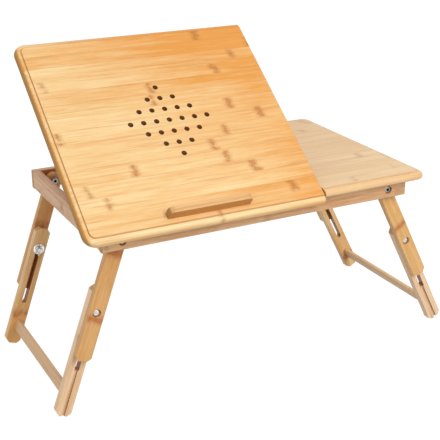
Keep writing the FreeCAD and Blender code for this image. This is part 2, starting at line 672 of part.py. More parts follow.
drawer_front = new_body("drawer_front")
block(drawer_front, "X", "worked.front_in_x", "dims.drawer_front_thick",
      ("-worked.drawer_half", "worked.front_low"), ("worked.drawer_half", "worked.drawer_top"))
KNOB = [("0", "worked.knob_z")]
bores(drawer_front, "X", "worked.front_in_x", "dims.drawer_front_thick", KNOB,
      "dims.screw_radius + dims.wood_fit")

PANEL_LOW = "worked.drawer_low + dims.drawer_panel_up"
SIDE_LONG = "(worked.front_in_x - worked.drawer_back_x)"


def drawer_side(end):
    """One drawer side, with the groove for the bottom in its inner face."""
    body = new_body(f"drawer_{end}_side")
    low = band(end, "worked.drawer_side_out - dims.drawer_side_thick", "worked.drawer_side_out")
    block(body, "X", "worked.drawer_back_x", SIDE_LONG, (low, "worked.drawer_low"),
          (f"{low} + dims.drawer_side_thick", "worked.drawer_top"))
    groove = band(end, "worked.panel_half - dims.drawer_panel_in", "worked.panel_half")
    fit = "dims.wood_fit"
    groove_low = f"{groove} - {fit}" if ENDS[end] < 0 else groove
    carve(body, "X", "worked.drawer_back_x", SIDE_LONG, (groove_low, f"{PANEL_LOW} - {fit}"),
          (f"{groove_low} + dims.drawer_panel_in + {fit}", f"{PANEL_LOW} + dims.drawer_panel_thick + {fit}"))
    return body


for end_name in ENDS:
    drawer_side(end_name)

drawer_bottom = new_body("drawer_bottom")
block(drawer_bottom, "X", "worked.drawer_back_x", SIDE_LONG, ("-worked.panel_half", PANEL_LOW),
      ("worked.panel_half", f"{PANEL_LOW} + dims.drawer_panel_thick"))

drawer_back = new_body("drawer_back")
back_half = "worked.drawer_side_out - dims.drawer_side_thick - dims.wood_fit"
block(drawer_back, "X", "worked.drawer_back_x", "dims.drawer_back_thick",
      (f"-({back_half})", f"{PANEL_LOW} + dims.drawer_panel_thick"),
      (back_half, "worked.drawer_top + dims.drawer_back_rise"))

knob = new_body("drawer_knob")
rods(knob, "X", "worked.frame_right", "dims.knob_long", KNOB, "dims.knob_neck")
rods(knob, "X", "worked.frame_right + dims.knob_long - dims.knob_head", "dims.knob_head", KNOB,
     "dims.knob_radius")
knob_rim = value("dims.knob_radius")
round_edges(knob, "dims.knob_round", lambda e: isinstance(e.Curve, Part.Circle)
            and abs(e.Curve.Radius - knob_rim) < 1e-6)
bores(knob, "X", "worked.frame_right", "dims.knob_screw_long - dims.drawer_front_thick", KNOB,
      "dims.screw_radius + dims.wood_fit")
wood_screws("drawer_knob_screw", "X", [
    ("worked.front_in_x - dims.screw_head_high", "dims.knob_screw_long", True, KNOB)])

# ---------------------------------------------------------------- hinges of the tilting top

HINGES = {"left": "worked.tilt_left + dims.hinge_left_x",
          "right": "worked.tilt_left + dims.hinge_right_x"}
AXIS_POINT = [("0", "0")]
KNUCKLE_BORE = "dims.pin_radius + dims.pin_fit"


def hinge_screws_x(middle):
    return [f"{middle} - dims.leaf_screw_x", f"{middle} + dims.leaf_screw_x"]


def rail_leaf(side, middle):
    """The leaf on the front rail's face, with the middle knuckle."""
    body = new_body(f"{side}_hinge_rail_leaf")
    leaf_y = "dims.hinge_out - dims.leaf_thick"
    rods(body, "X", f"{middle} - dims.knuckle_middle / 2", "dims.knuckle_middle", AXIS_POINT,
         "dims.knuckle_radius")
    block(body, "X", f"{middle} - dims.knuckle_middle / 2", "dims.knuckle_middle",
          (leaf_y + " - dims.leaf_thick", "-dims.knuckle_radius - dims.leaf_thick"), ("dims.hinge_out", "0"))
    block(body, "X", f"{middle} - dims.hinge_length / 2", "dims.hinge_length",
          (leaf_y, "-dims.rail_leaf_end"), ("dims.hinge_out", "-dims.knuckle_radius - dims.knuckle_play"))
    bores(body, "X", f"{middle} - dims.hinge_length / 2", "dims.hinge_length", AXIS_POINT, KNUCKLE_BORE)
    points = [(x, "-dims.leaf_screw_back") for x in hinge_screws_x(middle)]
    bores(body, "Y", leaf_y, "dims.leaf_thick", points, "dims.screw_radius + dims.wood_fit")
    place(body, ("0", "worked.hinge_y", "worked.hinge_z"))


def top_leaf(side, middle):
    """The leaf under the tilting top's front edge, with the two outer knuckles."""
    body = new_body(f"{side}_hinge_top_leaf")
    gap = "(dims.knuckle_middle / 2 + dims.knuckle_play)"
    knuckle = f"dims.hinge_length / 2 - {gap}"
    leaf_z = "worked.lid_low - dims.leaf_thick"
    block(body, "X", f"{middle} - dims.hinge_length / 2", "dims.hinge_length",
          ("-dims.top_leaf_end", leaf_z), ("-dims.knuckle_radius - dims.knuckle_play", "worked.lid_low"))
    for start in (f"{middle} - dims.hinge_length / 2", f"{middle} + {gap}"):
        block(body, "X", start, knuckle, ("-dims.knuckle_radius - dims.leaf_thick", "0"),
              ("0", "worked.lid_low"))
        rods(body, "X", start, knuckle, AXIS_POINT, "dims.knuckle_radius")
    bores(body, "X", f"{middle} - dims.hinge_length / 2", "dims.hinge_length", AXIS_POINT, KNUCKLE_BORE)
    points = [(x, "-dims.leaf_screw_back") for x in hinge_screws_x(middle)]
    bores(body, "Z", leaf_z, "dims.leaf_thick", points, "dims.screw_radius + dims.wood_fit")
    on_hinge(body)


def hinge_pin(side, middle):
    body = new_body(f"{side}_hinge_pin")
    rods(body, "X", f"{middle} - dims.hinge_length / 2", "dims.hinge_length", AXIS_POINT, "dims.pin_radius")
    place(body, ("0", "worked.hinge_y", "worked.hinge_z"))


for side_name, middle_x in HINGES.items():
    rail_leaf(side_name, middle_x)
    top_leaf(side_name, middle_x)
    hinge_pin(side_name, middle_x)

rail_screw_points = [(x, "worked.hinge_z - dims.leaf_screw_back")
                     for middle_x in HINGES.values() for x in hinge_screws_x(middle_x)]
rail_screw_y = "-worked.half_depth - dims.leaf_thick - dims.screw_head_high"
wood_screws("hinge_rail_screws", "Y", [(rail_screw_y, "dims.hinge_screw_long", True, rail_screw_points)])
front_rail = doc.getObject("front_rail")
bores(front_rail, "Y", "-worked.half_depth", "dims.hinge_screw_long", rail_screw_points,
      "dims.screw_radius + dims.wood_fit")

top_screw_points = [(x, "-dims.leaf_screw_back")
                    for middle_x in HINGES.values() for x in hinge_screws_x(middle_x)]
top_screws = wood_screws("hinge_top_screws", "Z", [
    ("worked.lid_low - dims.leaf_thick - dims.screw_head_high", "dims.hinge_screw_long", True,
     top_screw_points)])
on_hinge(top_screws)
bores(tilt_top, "Z", "worked.lid_low", "dims.hinge_screw_long", top_screw_points,
      "dims.screw_radius + dims.wood_fit")

# ---------------------------------------------------------------- wire prop and its slotted tracks

# The prop is as long as its pivot is far from the hinge, so its bar slides straight along the tracks
# and it turns about twice as fast as the top.
STAY_ANGLE = ("dims.tilt * 1 deg + asin(sin(dims.tilt)"
              " - dims.stay_drop * (1 - cos(dims.tilt)) / worked.stay_arm)")

tilt_stay = new_body("tilt_stay")
path = new_sketch(tilt_stay, "Z", "0")
left_end_x = "worked.stay_left - dims.stay_side - dims.stay_end"
right_end_x = "worked.stay_right + dims.stay_side + dims.stay_end"
rounded_path(path, [(left_end_x, "0"), ("worked.stay_left", "0"), ("worked.stay_left", "worked.stay_arm"),
                    ("worked.stay_right", "worked.stay_arm"), ("worked.stay_right", "0"),
                    (right_end_x, "0")], "dims.stay_bend", False)
wire = new_sketch(tilt_stay, "X", left_end_x)
circles(wire, AXIS_POINT, "dims.stay_radius")
sweep = tilt_stay.newObject("PartDesign::AdditivePipe", "tilt_stay_wire")
sweep.Profile = wire
sweep.Spine = path
path.Visibility = False
wire.Visibility = False
finish(tilt_stay, sweep)
place(tilt_stay, ("0", "dims.stay_pivot_y", "worked.stay_z"), (1, 0, 0), STAY_ANGLE)


def bar_place(angle):
    """How far along the top from the hinge the prop's bar is, at a tilt."""
    ratio = f"(sin({angle}) - dims.stay_drop * (1 - cos({angle})) / worked.stay_arm)"
    return (f"worked.stay_arm * cos({angle}) - dims.stay_drop * sin({angle})"
            f" + worked.stay_arm * sqrt(1 - {ratio} * {ratio})")


SLOT_NEAR = bar_place("dims.tilt")
SLOT_FAR = "2 * worked.stay_arm"
NOTCHES = 4
track_points = []


def stay_track(side, middle):
    """A slotted track under the tilting top, with shallow notches where the prop's bar comes to rest."""
    body = new_body(f"{side}_stay_track")
    left = f"{middle} - dims.track_thick / 2"
    margin = "(worked.slot_half + dims.track_wall)"
    low = "worked.lid_low - dims.track_deep"
    block(body, "X", left, "dims.track_thick", (f"{SLOT_NEAR} - {margin}", low),
          (f"{SLOT_FAR} + {margin}", "worked.lid_low"))
    middle_z = "-dims.stay_drop"
    carve(body, "X", left, "dims.track_thick", (SLOT_NEAR, f"{middle_z} - worked.slot_half"),
          (SLOT_FAR, f"{middle_z} + worked.slot_half"))
    bores(body, "X", left, "dims.track_thick", [(SLOT_NEAR, middle_z)], "worked.slot_half")
    bores(body, "X", left, "dims.track_thick", [(SLOT_FAR, middle_z)], "worked.slot_half")
    notches = [(bar_place(f"(dims.tilt - {n} * dims.notch_step)"), f"{middle_z} + dims.notch_rise")
               for n in range(NOTCHES)]
    bores(body, "X", left, "dims.track_thick", notches, "dims.stay_radius + dims.track_play / 2")
    points = [(middle, f"{SLOT_NEAR} - {margin} + dims.track_wall / 2"),
              (middle, f"{SLOT_FAR} + {margin} - dims.track_wall / 2")]
    bores(body, "Z", low, "dims.track_deep", points, "dims.screw_radius + dims.wood_fit")
    bores(body, "Z", low, "dims.screw_head_high", points, "dims.screw_head + dims.wood_fit")
    on_hinge(body)
    track_points.extend(points)


stay_track("left", "worked.stay_left + dims.track_side")
stay_track("right", "worked.stay_right - dims.track_side")
track_screws = wood_screws("stay_track_screws", "Z", [
    ("worked.lid_low - dims.track_deep", "dims.track_deep + dims.top_screw_grip", True, track_points)])
on_hinge(track_screws)
bores(tilt_top, "Z", "worked.lid_low", "dims.top_screw_grip", track_points,
      "dims.screw_radius + dims.wood_fit")

# ---------------------------------------------------------------- leg pivots

SOCKET_SIDES = 6


def hexagon(sketch, centre, radius):
    """A regular hexagon, corners up and down, round a point."""
    corners = [(f"{centre[0]} + {radius} * sin({60 * n})", f"{centre[1]} + {radius} * cos({60 * n})")
               for n in range(SOCKET_SIDES)]
    polygon(sketch, corners)


def bolt(body, end, outer, points, tip, dome):
    """Bolts with round heads, a radius of dome at the crown; outer and tip are distances from the middle."""
    seat = f"({outer} - dims.head_sink)"
    rods(body, "Y", band(end, tip, seat), f"{seat} - ({tip})", points, "dims.bolt_radius")
    crown = f"({seat} + dims.head_high)"
    rods(body, "Y", band(end, seat, crown), "dims.head_high", points, "dims.head_radius")
    rim_y = ENDS[end] * value(crown)
    round_edges(body, dome, lambda e: isinstance(e.Curve, Part.Circle) and lies_at(e, 1, rim_y))
    return crown


pivot_bolts = new_body("pivot_bolts", several=True)
pivot_nuts = new_body("pivot_nuts", several=True)
NUT_OUT = "(worked.upper_in - dims.nut_gap)"
NUT_IN = f"({NUT_OUT} - dims.nut_high)"
for end_name in ENDS:
    pivot_crown = bolt(pivot_bolts, end_name, "worked.half_depth", PIVOTS, NUT_IN, "dims.head_high / 3")
    for pivot_point in PIVOTS:
        socket_low = band(end_name, f"{pivot_crown} - dims.socket_depth", pivot_crown)
        socket = new_sketch(pivot_bolts, "Y", socket_low)
        hexagon(socket, pivot_point, "dims.socket_radius")
        pocket(pivot_bolts, "Y", socket, "dims.socket_depth")
        nut = new_sketch(pivot_nuts, "Y", band(end_name, NUT_IN, NUT_OUT))
        hexagon(nut, pivot_point, "dims.nut_radius")
        pad(pivot_nuts, "Y", nut, "dims.nut_high")
    bores(pivot_nuts, "Y", band(end_name, NUT_IN, NUT_OUT), "dims.nut_high", PIVOTS,
          "dims.bolt_radius + dims.wood_fit")

# ---------------------------------------------------------------- legs


def leg_outline(top, bottom, chamfer_top):
    """A leg's outline, drawn down from the pivot, with its corners cut off."""
    half, cut = "worked.leg_half", "dims.leg_chamfer"
    low = [(f"-{half}", f"-({bottom}) + {cut}"), (f"-{half} + {cut}", f"-({bottom})"),
           (f"{half} - {cut}", f"-({bottom})"), (half, f"-({bottom}) + {cut}")]
    if not chamfer_top:
        return low + [(half, f"-({top})"), (f"-{half}", f"-({top})")]
    return low + [(half, f"-({top}) - {cut}"), (f"{half} - {cut}", f"-({top})"),
                  (f"-{half} + {cut}", f"-({top})"), (f"-{half}", f"-({top}) - {cut}")]


def long_leg_edges(edge):
    half = value("worked.leg_half")
    return runs_along(edge, 2) and (lies_at(edge, 0, half) or lies_at(edge, 0, -half))


def upper_leg(end, side):
    """The leg's upper part: round head at the pivot, clamp bolt's hole, tongue on its inner face."""
    body = new_body(f"{end}_{side}_upper_leg")
    low = band(end, "worked.upper_in", "worked.upper_out")
    outline = new_sketch(body, "Y", low)
    polygon(outline, leg_outline("0", "dims.upper_reach", False))
    pad(body, "Y", outline, "dims.upper_thick")
    rods(body, "Y", low, "dims.upper_thick", AXIS_POINT, "worked.leg_half")
    round_edges(body, "dims.leg_round", long_leg_edges)
    tongue_low = band(end, "worked.upper_in - dims.tongue_high", "worked.upper_in")
    block(body, "Y", tongue_low, "dims.tongue_high",
          ("-dims.tongue_width / 2", "-dims.tongue_start - dims.tongue_length"),
          ("dims.tongue_width / 2", "-dims.tongue_start"))
    bores(body, "Y", low, "dims.upper_thick", AXIS_POINT, "dims.bolt_radius + dims.bolt_fit")
    clamp = [("0", "-dims.clamp_reach")]
    bores(body, "Y", low, "dims.upper_thick", clamp, "dims.bolt_radius + dims.wood_fit")
    sink = band(end, "worked.upper_out - dims.head_sink", "worked.upper_out")
    bores(body, "Y", sink, "dims.head_sink", clamp, "dims.head_radius + dims.head_side")
    on_leg(body, side)


def lower_leg(end, side):
    """The sliding part: long slot for the clamp bolt, groove for the tongue, mortise for the stretcher."""
    body = new_body(f"{end}_{side}_lower_leg")
    low = band(end, "worked.lower_in", "worked.lower_out")
    reach = SIDES[side][2]
    top = f"dims.top_{side}"
    outline = new_sketch(body, "Y", low)
    polygon(outline, leg_outline(top, reach, True))
    pad(body, "Y", outline, "dims.lower_thick")
    round_edges(body, "dims.leg_round", long_leg_edges)
    groove_half = "(dims.tongue_width / 2 + dims.tongue_side)"
    groove = band(end, "worked.lower_out - worked.groove_deep", "worked.lower_out")
    carve(body, "Y", groove, "worked.groove_deep", (f"-{groove_half}", f"-({reach})"),
          (groove_half, f"-{top}"))
    slot_half = "(dims.bolt_radius + dims.slot_side)"
    slot_high = f"-dims.clamp_reach + dims.rest_{side}"
    slot_low = f"-{reach} + dims.slot_foot + {slot_half}"
    carve(body, "Y", low, "dims.lower_thick", (f"-{slot_half}", slot_low), (slot_half, slot_high))
    bores(body, "Y", low, "dims.lower_thick", [("0", slot_high)], slot_half)
    bores(body, "Y", low, "dims.lower_thick", [("0", slot_low)], slot_half)
    middle = f"(dims.stretcher_foot - {reach})"
    deep = "(dims.tenon_length + dims.wood_fit)"
    half_thick = "(worked.tenon_thick / 2 + dims.wood_fit)"
    half_wide = "(worked.tenon_wide / 2 + dims.wood_fit)"
    carve(body, "Y", band(end, "worked.lower_in", f"worked.lower_in + {deep}"), deep,
          (f"-{half_thick}", f"{middle} - {half_wide}"), (half_thick, f"{middle} + {half_wide}"))
    on_leg(body, side)


def stretcher(side):
    """The bar between a side's two lower legs, tenoned into both."""
    body = new_body(f"{side}_stretcher")
    middle = f"(dims.stretcher_foot - {SIDES[side][2]})"
    thick, wide = "dims.stretcher_thick / 2", "dims.stretcher_wide / 2"
    block(body, "Y", "-worked.lower_in", "2 * worked.lower_in", (f"-{thick}", f"{middle} - {wide}"),
          (thick, f"{middle} + {wide}"))
    round_edges(body, "dims.stretcher_round", lambda e: runs_along(e, 1))
    thick, wide = "worked.tenon_thick / 2", "worked.tenon_wide / 2"
    long = "worked.lower_in + dims.tenon_length"
    block(body, "Y", f"-({long})", f"2 * ({long})", (f"-{thick}", f"{middle} - {wide}"),
          (thick, f"{middle} + {wide}"))
    on_leg(body, side)


def clamp_hardware(end, side):
    """Clamp bolt with a plain domed head, and washer, of one leg."""
    name = f"{end}_{side}"
    clamp = [("0", "-dims.clamp_reach")]
    clamp_bolt = new_body(f"{name}_clamp_bolt")
    tip = "(worked.wing_base - dims.wing_hub_high - dims.bolt_spare)"
    bolt(clamp_bolt, end, "worked.upper_out", clamp, tip, "dims.head_high * 0.8")
    on_leg(clamp_bolt, side)
    washer = new_body(f"{name}_clamp_washer")
    low = band(end, "worked.washer_in", "worked.lower_in")
    rods(washer, "Y", low, "dims.washer_thick", clamp, "dims.washer_radius")
    bores(washer, "Y", low, "dims.washer_thick", clamp, "dims.bolt_radius + dims.wood_fit")
    on_leg(washer, side)


def wing_nut(end, side):
    """A wing nut drawn round its own axis, base at the origin, then turned and spread with its leg."""
    name = f"{end}_{side}"
    body = new_body(f"{name}_wing_nut")
    sign = -ENDS[end]
    hub_low = band(end, "-dims.wing_hub_high", "0")
    rods(body, "Y", hub_low, "dims.wing_hub_high", AXIS_POINT, "dims.wing_hub")
    top_y = sign * value("dims.wing_hub_high")
    round_edges(body, "dims.wing_hub / 4", lambda e: isinstance(e.Curve, Part.Circle)
                and lies_at(e, 1, top_y))
    wings = new_sketch(body, "X", "-dims.wing_thick / 2")
    base, top, span = "dims.wing_gap", "dims.wing_high", "dims.wing_span"
    inner = "(dims.wing_hub - dims.wing_gap * 4)"
    for up in (1, -1):
        shape = [(base, inner), ("dims.wing_high * 0.35", f"{span} * 0.86"), (f"{top} * 0.8", span),
                 (top, f"{span} * 0.84"), (f"{top} * 0.62", inner)]
        polygon(wings, [(f"{sign} * ({y})", f"{up} * ({z})") for y, z in shape])
    pad(body, "X", wings, "dims.wing_thick")
    bores(body, "Y", hub_low, "dims.wing_hub_high", AXIS_POINT, "dims.bolt_radius + dims.bolt_fit")
    splay, pivot_x, _ = SIDES[side]
    turn = f"{splay} + {WING_ANGLES[name]}"
    place(body, (f"{pivot_x} - dims.clamp_reach * sin({splay})", f"{-sign} * worked.wing_base",
                 f"worked.pivot_z - dims.clamp_reach * cos({splay})"), (0, 1, 0), turn)


for side_name in SIDES:
    for end_name in ENDS:
        upper_leg(end_name, side_name)
        lower_leg(end_name, side_name)
        clamp_hardware(end_name, side_name)
        wing_nut(end_name, side_name)
    stretcher(side_name)

# ---------------------------------------------------------------- check and write

doc.recompute()
for item in doc.Objects:
    if "Invalid" in item.State or "Error" in item.State:
        raise RuntimeError(f"{item.Label} is broken")
os.makedirs("parts", exist_ok=True)
for body in outputs:
    shape = body.Shape
    if shape.isNull() or not shape.isValid():
        raise RuntimeError(f"{body.Label} has no valid shape")
    shape.exportStep(os.path.join("parts", f"{body.Label}.step"))
print(len(outputs), "nodes written")
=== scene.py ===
import math

import bpy
import numpy as np
from mathutils import Matrix, Vector


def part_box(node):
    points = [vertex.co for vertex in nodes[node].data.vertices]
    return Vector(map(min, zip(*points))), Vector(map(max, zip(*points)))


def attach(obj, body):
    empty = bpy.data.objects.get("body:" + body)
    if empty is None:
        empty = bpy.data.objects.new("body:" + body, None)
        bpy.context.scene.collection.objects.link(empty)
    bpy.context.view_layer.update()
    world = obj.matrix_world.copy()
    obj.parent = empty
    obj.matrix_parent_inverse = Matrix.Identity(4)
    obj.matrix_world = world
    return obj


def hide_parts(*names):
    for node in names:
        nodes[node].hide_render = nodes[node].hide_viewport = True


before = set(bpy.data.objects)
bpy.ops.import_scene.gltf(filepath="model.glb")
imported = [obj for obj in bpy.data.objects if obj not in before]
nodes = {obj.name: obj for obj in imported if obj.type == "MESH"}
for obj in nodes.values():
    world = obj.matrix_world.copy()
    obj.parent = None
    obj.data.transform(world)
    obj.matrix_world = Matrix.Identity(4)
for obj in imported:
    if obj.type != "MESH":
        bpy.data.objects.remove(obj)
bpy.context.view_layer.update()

# ---------------------------------------------------------------------------------------------------
# Rail frame.  Four flat bamboo rails, butted and held by two dowels at each corner.  Bamboo board is
# glued up from narrow strips, so the grain, the strips' tones and the reddish nodes all come from
# one strip pattern, and the arrises are softened by sanding before the clear lacquer.

MM = 0.001
RIGHT, BACK, UP = (1, 0, 0), (0, 1, 0), (0, 0, 1)


def put(socket, source):
    """Give a socket a plain value, or link it to the output that is passed."""
    if isinstance(source, bpy.types.NodeSocket):
        socket.id_data.links.new(source, socket)
    else:
        socket.default_value = source


def add_node(tree, kind, settings=None, **inputs):
    """Add a shader node; settings are its own properties, inputs its sockets by name."""
    node = tree.nodes.new("ShaderNode" + kind)
    for key, setting in (settings or {}).items():
        setattr(node, key, setting)
    for key, source in inputs.items():
        put(node.inputs[key.replace("_", " ")], source)
    return node


def calc(tree, operation, *sources):
    """One arithmetic step; returns its output socket."""
    node = tree.nodes.new("ShaderNodeMath")
    node.operation = operation
    for socket, source in zip(node.inputs, sources):
        put(socket, source)
    return node.outputs[0]


def swing(tree, source, amount):
    """A value from 0 to 1 made a swing about nought: less a half, times the amount."""
    return calc(tree, "MULTIPLY", calc(tree, "SUBTRACT", source, 0.5), amount)


def vector_calc(tree, operation, first, second):
    """One step of vector arithmetic; returns its outputs, Vector and Value."""
    node = add_node(tree, "VectorMath", {"operation": operation})
    put(node.inputs[0], first)
    put(node.inputs[1], second)
    return node.outputs


def remap(tree, source, low, high, new_low=0.0, new_high=1.0):
    """A soft step: source between low and high becomes new_low to new_high, eased at both ends."""
    node = add_node(tree, "MapRange", {"interpolation_type": "SMOOTHSTEP"})
    for name, value in (("Value", source), ("From Min", low), ("From Max", high),
                        ("To Min", new_low), ("To Max", new_high)):
        put(node.inputs[name], value)
    return node.outputs["Result"]


def blend_colours(tree, share, first, second):
    """Mix two colours: a share of 0 gives the first, 1 the second."""
    node = add_node(tree, "Mix", {"data_type": "RGBA", "blend_type": "MIX"})
    put(node.inputs["Factor"], share)
    put(node.inputs[6], first)
    put(node.inputs[7], second)
    return node.outputs[2]


def stretched_noise(tree, place, stretch, detail, roughness=0.55):
    """Noise whose cells are as long, wide and thick as one over the three numbers of stretch."""
    scaled = vector_calc(tree, "MULTIPLY", place, stretch)["Vector"]
    noise = add_node(tree, "TexNoise", Vector=scaled, Scale=1.0, Detail=detail, Roughness=roughness)
    return noise.outputs["Fac"]


def new_group(name, inputs, outputs):
    """A shader node group with typed sockets; returns its tree, what it is given and what it puts out."""
    tree = bpy.data.node_groups.new(name, "ShaderNodeTree")
    kinds = {"value": "NodeSocketFloat", "colour": "NodeSocketColor", "vector": "NodeSocketVector"}
    for socket_name, kind in inputs.items():
        tree.interface.new_socket(socket_name, in_out="INPUT", socket_type=kinds[kind])
    for socket_name, kind in outputs.items():
        tree.interface.new_socket(socket_name, in_out="OUTPUT", socket_type=kinds[kind])
    return tree, tree.nodes.new("NodeGroupInput").outputs, tree.nodes.new("NodeGroupOutput").inputs


def build_strip_place_group():
    """Where a point lies in its strip.

    Row numbers the strips, Inside runs from -0.5 to 0.5 across one, Chance is random for each strip,
    Solid is the place moved far away for each row, because every strip is cut from another cane, and
    X is the place along the grain, bent a little as the nodes of a cane are.
    """
    tree, given, result = new_group(
        "strip place", {"Place": "vector", "Strip Width": "value", "Seed": "value"},
        {"X": "value", "Row": "value", "Inside": "value", "Chance": "vector", "Solid": "vector"})
    x, y, z = add_node(tree, "SeparateXYZ", Vector=given["Place"]).outputs
    across = calc(tree, "ADD", calc(tree, "DIVIDE", y, given["Strip Width"]), given["Seed"])
    row = calc(tree, "FLOOR", across)
    inside = calc(tree, "SUBTRACT", calc(tree, "FRACT", across), 0.5)
    key = add_node(tree, "CombineXYZ", X=row, Y=given["Seed"])
    random = add_node(tree, "TexWhiteNoise", {"noise_dimensions": "2D"}, Vector=key.outputs[0])
    chance = random.outputs["Color"]
    solid = add_node(tree, "CombineXYZ", X=calc(tree, "ADD", x, calc(tree, "MULTIPLY", row, 1.7)),
                     Y=y, Z=z).outputs[0]
    lean = calc(tree, "SUBTRACT", add_node(tree, "SeparateXYZ", Vector=chance).outputs[1], 0.35)
    slant = calc(tree, "MULTIPLY", calc(tree, "MULTIPLY", inside, lean), 0.010)
    wobble = swing(tree, stretched_noise(tree, solid, (90.0, 130.0, 130.0), 2.0), 0.007)
    bent = calc(tree, "ADD", calc(tree, "ADD", x, slant), wobble)
    for name, source in (("X", bent), ("Row", row), ("Inside", inside), ("Chance", chance),
                         ("Solid", solid)):
        put(result[name], source)
    return tree


def build_strip_group():
    """Glued bamboo strips.

    Place is in metres, X along the grain, Y across the strips.  Every strip has a random tone that
    drifts along it, broad and narrow streaks and fine fibres, and a node every Node Gap: a reddish
    patch with two broken darker lines.  Listed is the distance to nodes at places of their own, Tone
    deepens the colour.  Where Facing points along the grain, the strip's dotted end shows instead.
    """
    tree, given, result = new_group(
        "bamboo strips",
        {"Place": "vector", "Facing": "vector", "Strip Width": "value", "Node Gap": "value",
         "Seed": "value", "Contrast": "value", "Mark Strength": "value", "Tone": "value",
         "Listed": "value", "Pale": "colour", "Deep": "colour", "Mark": "colour", "End": "colour"},
        {"Color": "colour", "Roughness": "value", "Height": "value"})
    strip = add_node(tree, "Group", {"node_tree": strip_place_group}, Place=given["Place"],
                     Strip_Width=given["Strip Width"], Seed=given["Seed"]).outputs
    row, inside, solid = strip["Row"], strip["Inside"], strip["Solid"]
    chance = add_node(tree, "SeparateXYZ", Vector=strip["Chance"]).outputs
    drift = stretched_noise(tree, solid, (4.0, 10.0, 10.0), 1.0)
    bands = stretched_noise(tree, solid, (7.0, 110.0, 110.0), 2.0, 0.6)
    streaks = stretched_noise(tree, solid, (16.0, 300.0, 300.0), 3.0, 0.65)
    flecks = stretched_noise(tree, solid, (55.0, 520.0, 520.0), 1.0)
    fibres = stretched_noise(tree, solid, (26.0, 1500.0, 1500.0), 2.0, 0.6)
    lines = remap(tree, stretched_noise(tree, solid, (9.0, 260.0, 260.0), 1.0), 0.60, 0.72)
    tone = swing(tree, chance[0], 0.21)
    for part, amount in ((drift, 0.9), (bands, 1.0), (streaks, 0.9), (flecks, 0.5), (fibres, 0.4)):
        tone = calc(tree, "ADD", tone, swing(tree, part, amount))
    tone = calc(tree, "MULTIPLY", tone, given["Contrast"])
    tone = calc(tree, "ADD", tone, calc(tree, "ADD", given["Tone"], 0.42))
    colour = blend_colours(tree, add_node(tree, "Clamp", Value=tone).outputs[0], given["Pale"], given["Deep"])
    colour = blend_colours(tree, calc(tree, "MULTIPLY", lines, 0.24), colour, given["Mark"])
    # nodes: how far away the nearest one is, one every Node Gap or one of those listed
    along = calc(tree, "ADD", calc(tree, "DIVIDE", strip["X"], given["Node Gap"]), chance[2])
    number = calc(tree, "ROUND", along)
    away = calc(tree, "MULTIPLY", calc(tree, "SUBTRACT", along, number), given["Node Gap"])
    node_key = add_node(tree, "CombineXYZ", X=number, Y=calc(tree, "ADD", row, given["Seed"]))
    node_random = add_node(tree, "TexWhiteNoise", {"noise_dimensions": "2D"}, Vector=node_key.outputs[0])
    missing = remap(tree, node_random.outputs["Value"], 0.3, 0.6, 0.02, 0.0)
    away = calc(tree, "ADD", calc(tree, "ABSOLUTE", away), missing)
    away = calc(tree, "MINIMUM", away, given["Listed"])
    away = calc(tree, "ABSOLUTE", calc(tree, "ADD", away, swing(tree, streaks, 0.007)))
    patch = remap(tree, away, 0.0010, 0.0115, 0.78, 0.0)
    line = calc(tree, "ABSOLUTE", calc(tree, "SUBTRACT", away, 0.0020))
    line = remap(tree, line, 0.0004, 0.0030, 0.95, 0.0)
    middle = remap(tree, calc(tree, "ABSOLUTE", inside), 0.40, 0.49, 1.0, 0.0)
    broken = remap(tree, stretched_noise(tree, solid, (60.0, 140.0, 140.0), 2.0), 0.34, 0.54, 0.25, 1.0)
    mark = calc(tree, "MULTIPLY", calc(tree, "MAXIMUM", line, patch), calc(tree, "MULTIPLY", middle, broken))
    mark = calc(tree, "MULTIPLY", mark, given["Mark Strength"])
    colour = blend_colours(tree, mark, colour, given["Mark"])
    glue = remap(tree, calc(tree, "ABSOLUTE", inside), 0.472, 0.497, 0.0, 1.0)
    seen = remap(tree, stretched_noise(tree, solid, (6.0, 20.0, 20.0), 1.0), 0.4, 0.6, 0.08, 0.55)
    glue = calc(tree, "MULTIPLY", calc(tree, "MULTIPLY", glue, seen), given["Contrast"])
    colour = blend_colours(tree, glue, colour, given["Mark"])
    # end grain: dark dots packed towards one side of each strip
    facing = add_node(tree, "SeparateXYZ", Vector=given["Facing"]).outputs
    end_share = remap(tree, calc(tree, "ABSOLUTE", facing[0]), 0.35, 0.8)
    dots = remap(tree, stretched_noise(tree, solid, (40.0, 1300.0, 1300.0), 1.0), 0.45, 0.62)
    end_colour = blend_colours(tree, calc(tree, "MULTIPLY", dots, 0.45), given["End"], given["Mark"])
    colour = blend_colours(tree, end_share, colour, end_colour)
    rough = calc(tree, "ADD", 0.36, calc(tree, "MULTIPLY", streaks, 0.16))
    rough = calc(tree, "ADD", rough, calc(tree, "MULTIPLY", end_share, 0.18))
    height = calc(tree, "SUBTRACT", calc(tree, "MULTIPLY", fibres, 0.5), calc(tree, "MULTIPLY", lines, 0.5))
    height = calc(tree, "SUBTRACT", height, calc(tree, "MULTIPLY", calc(tree, "ADD", glue, mark), 0.6))
    end_dots = calc(tree, "MULTIPLY", dots, end_share)
    height = calc(tree, "SUBTRACT", height, calc(tree, "MULTIPLY", end_dots, 0.6))
    put(result["Color"], colour)
    put(result["Roughness"], rough)
    put(result["Height"], height)
    return tree


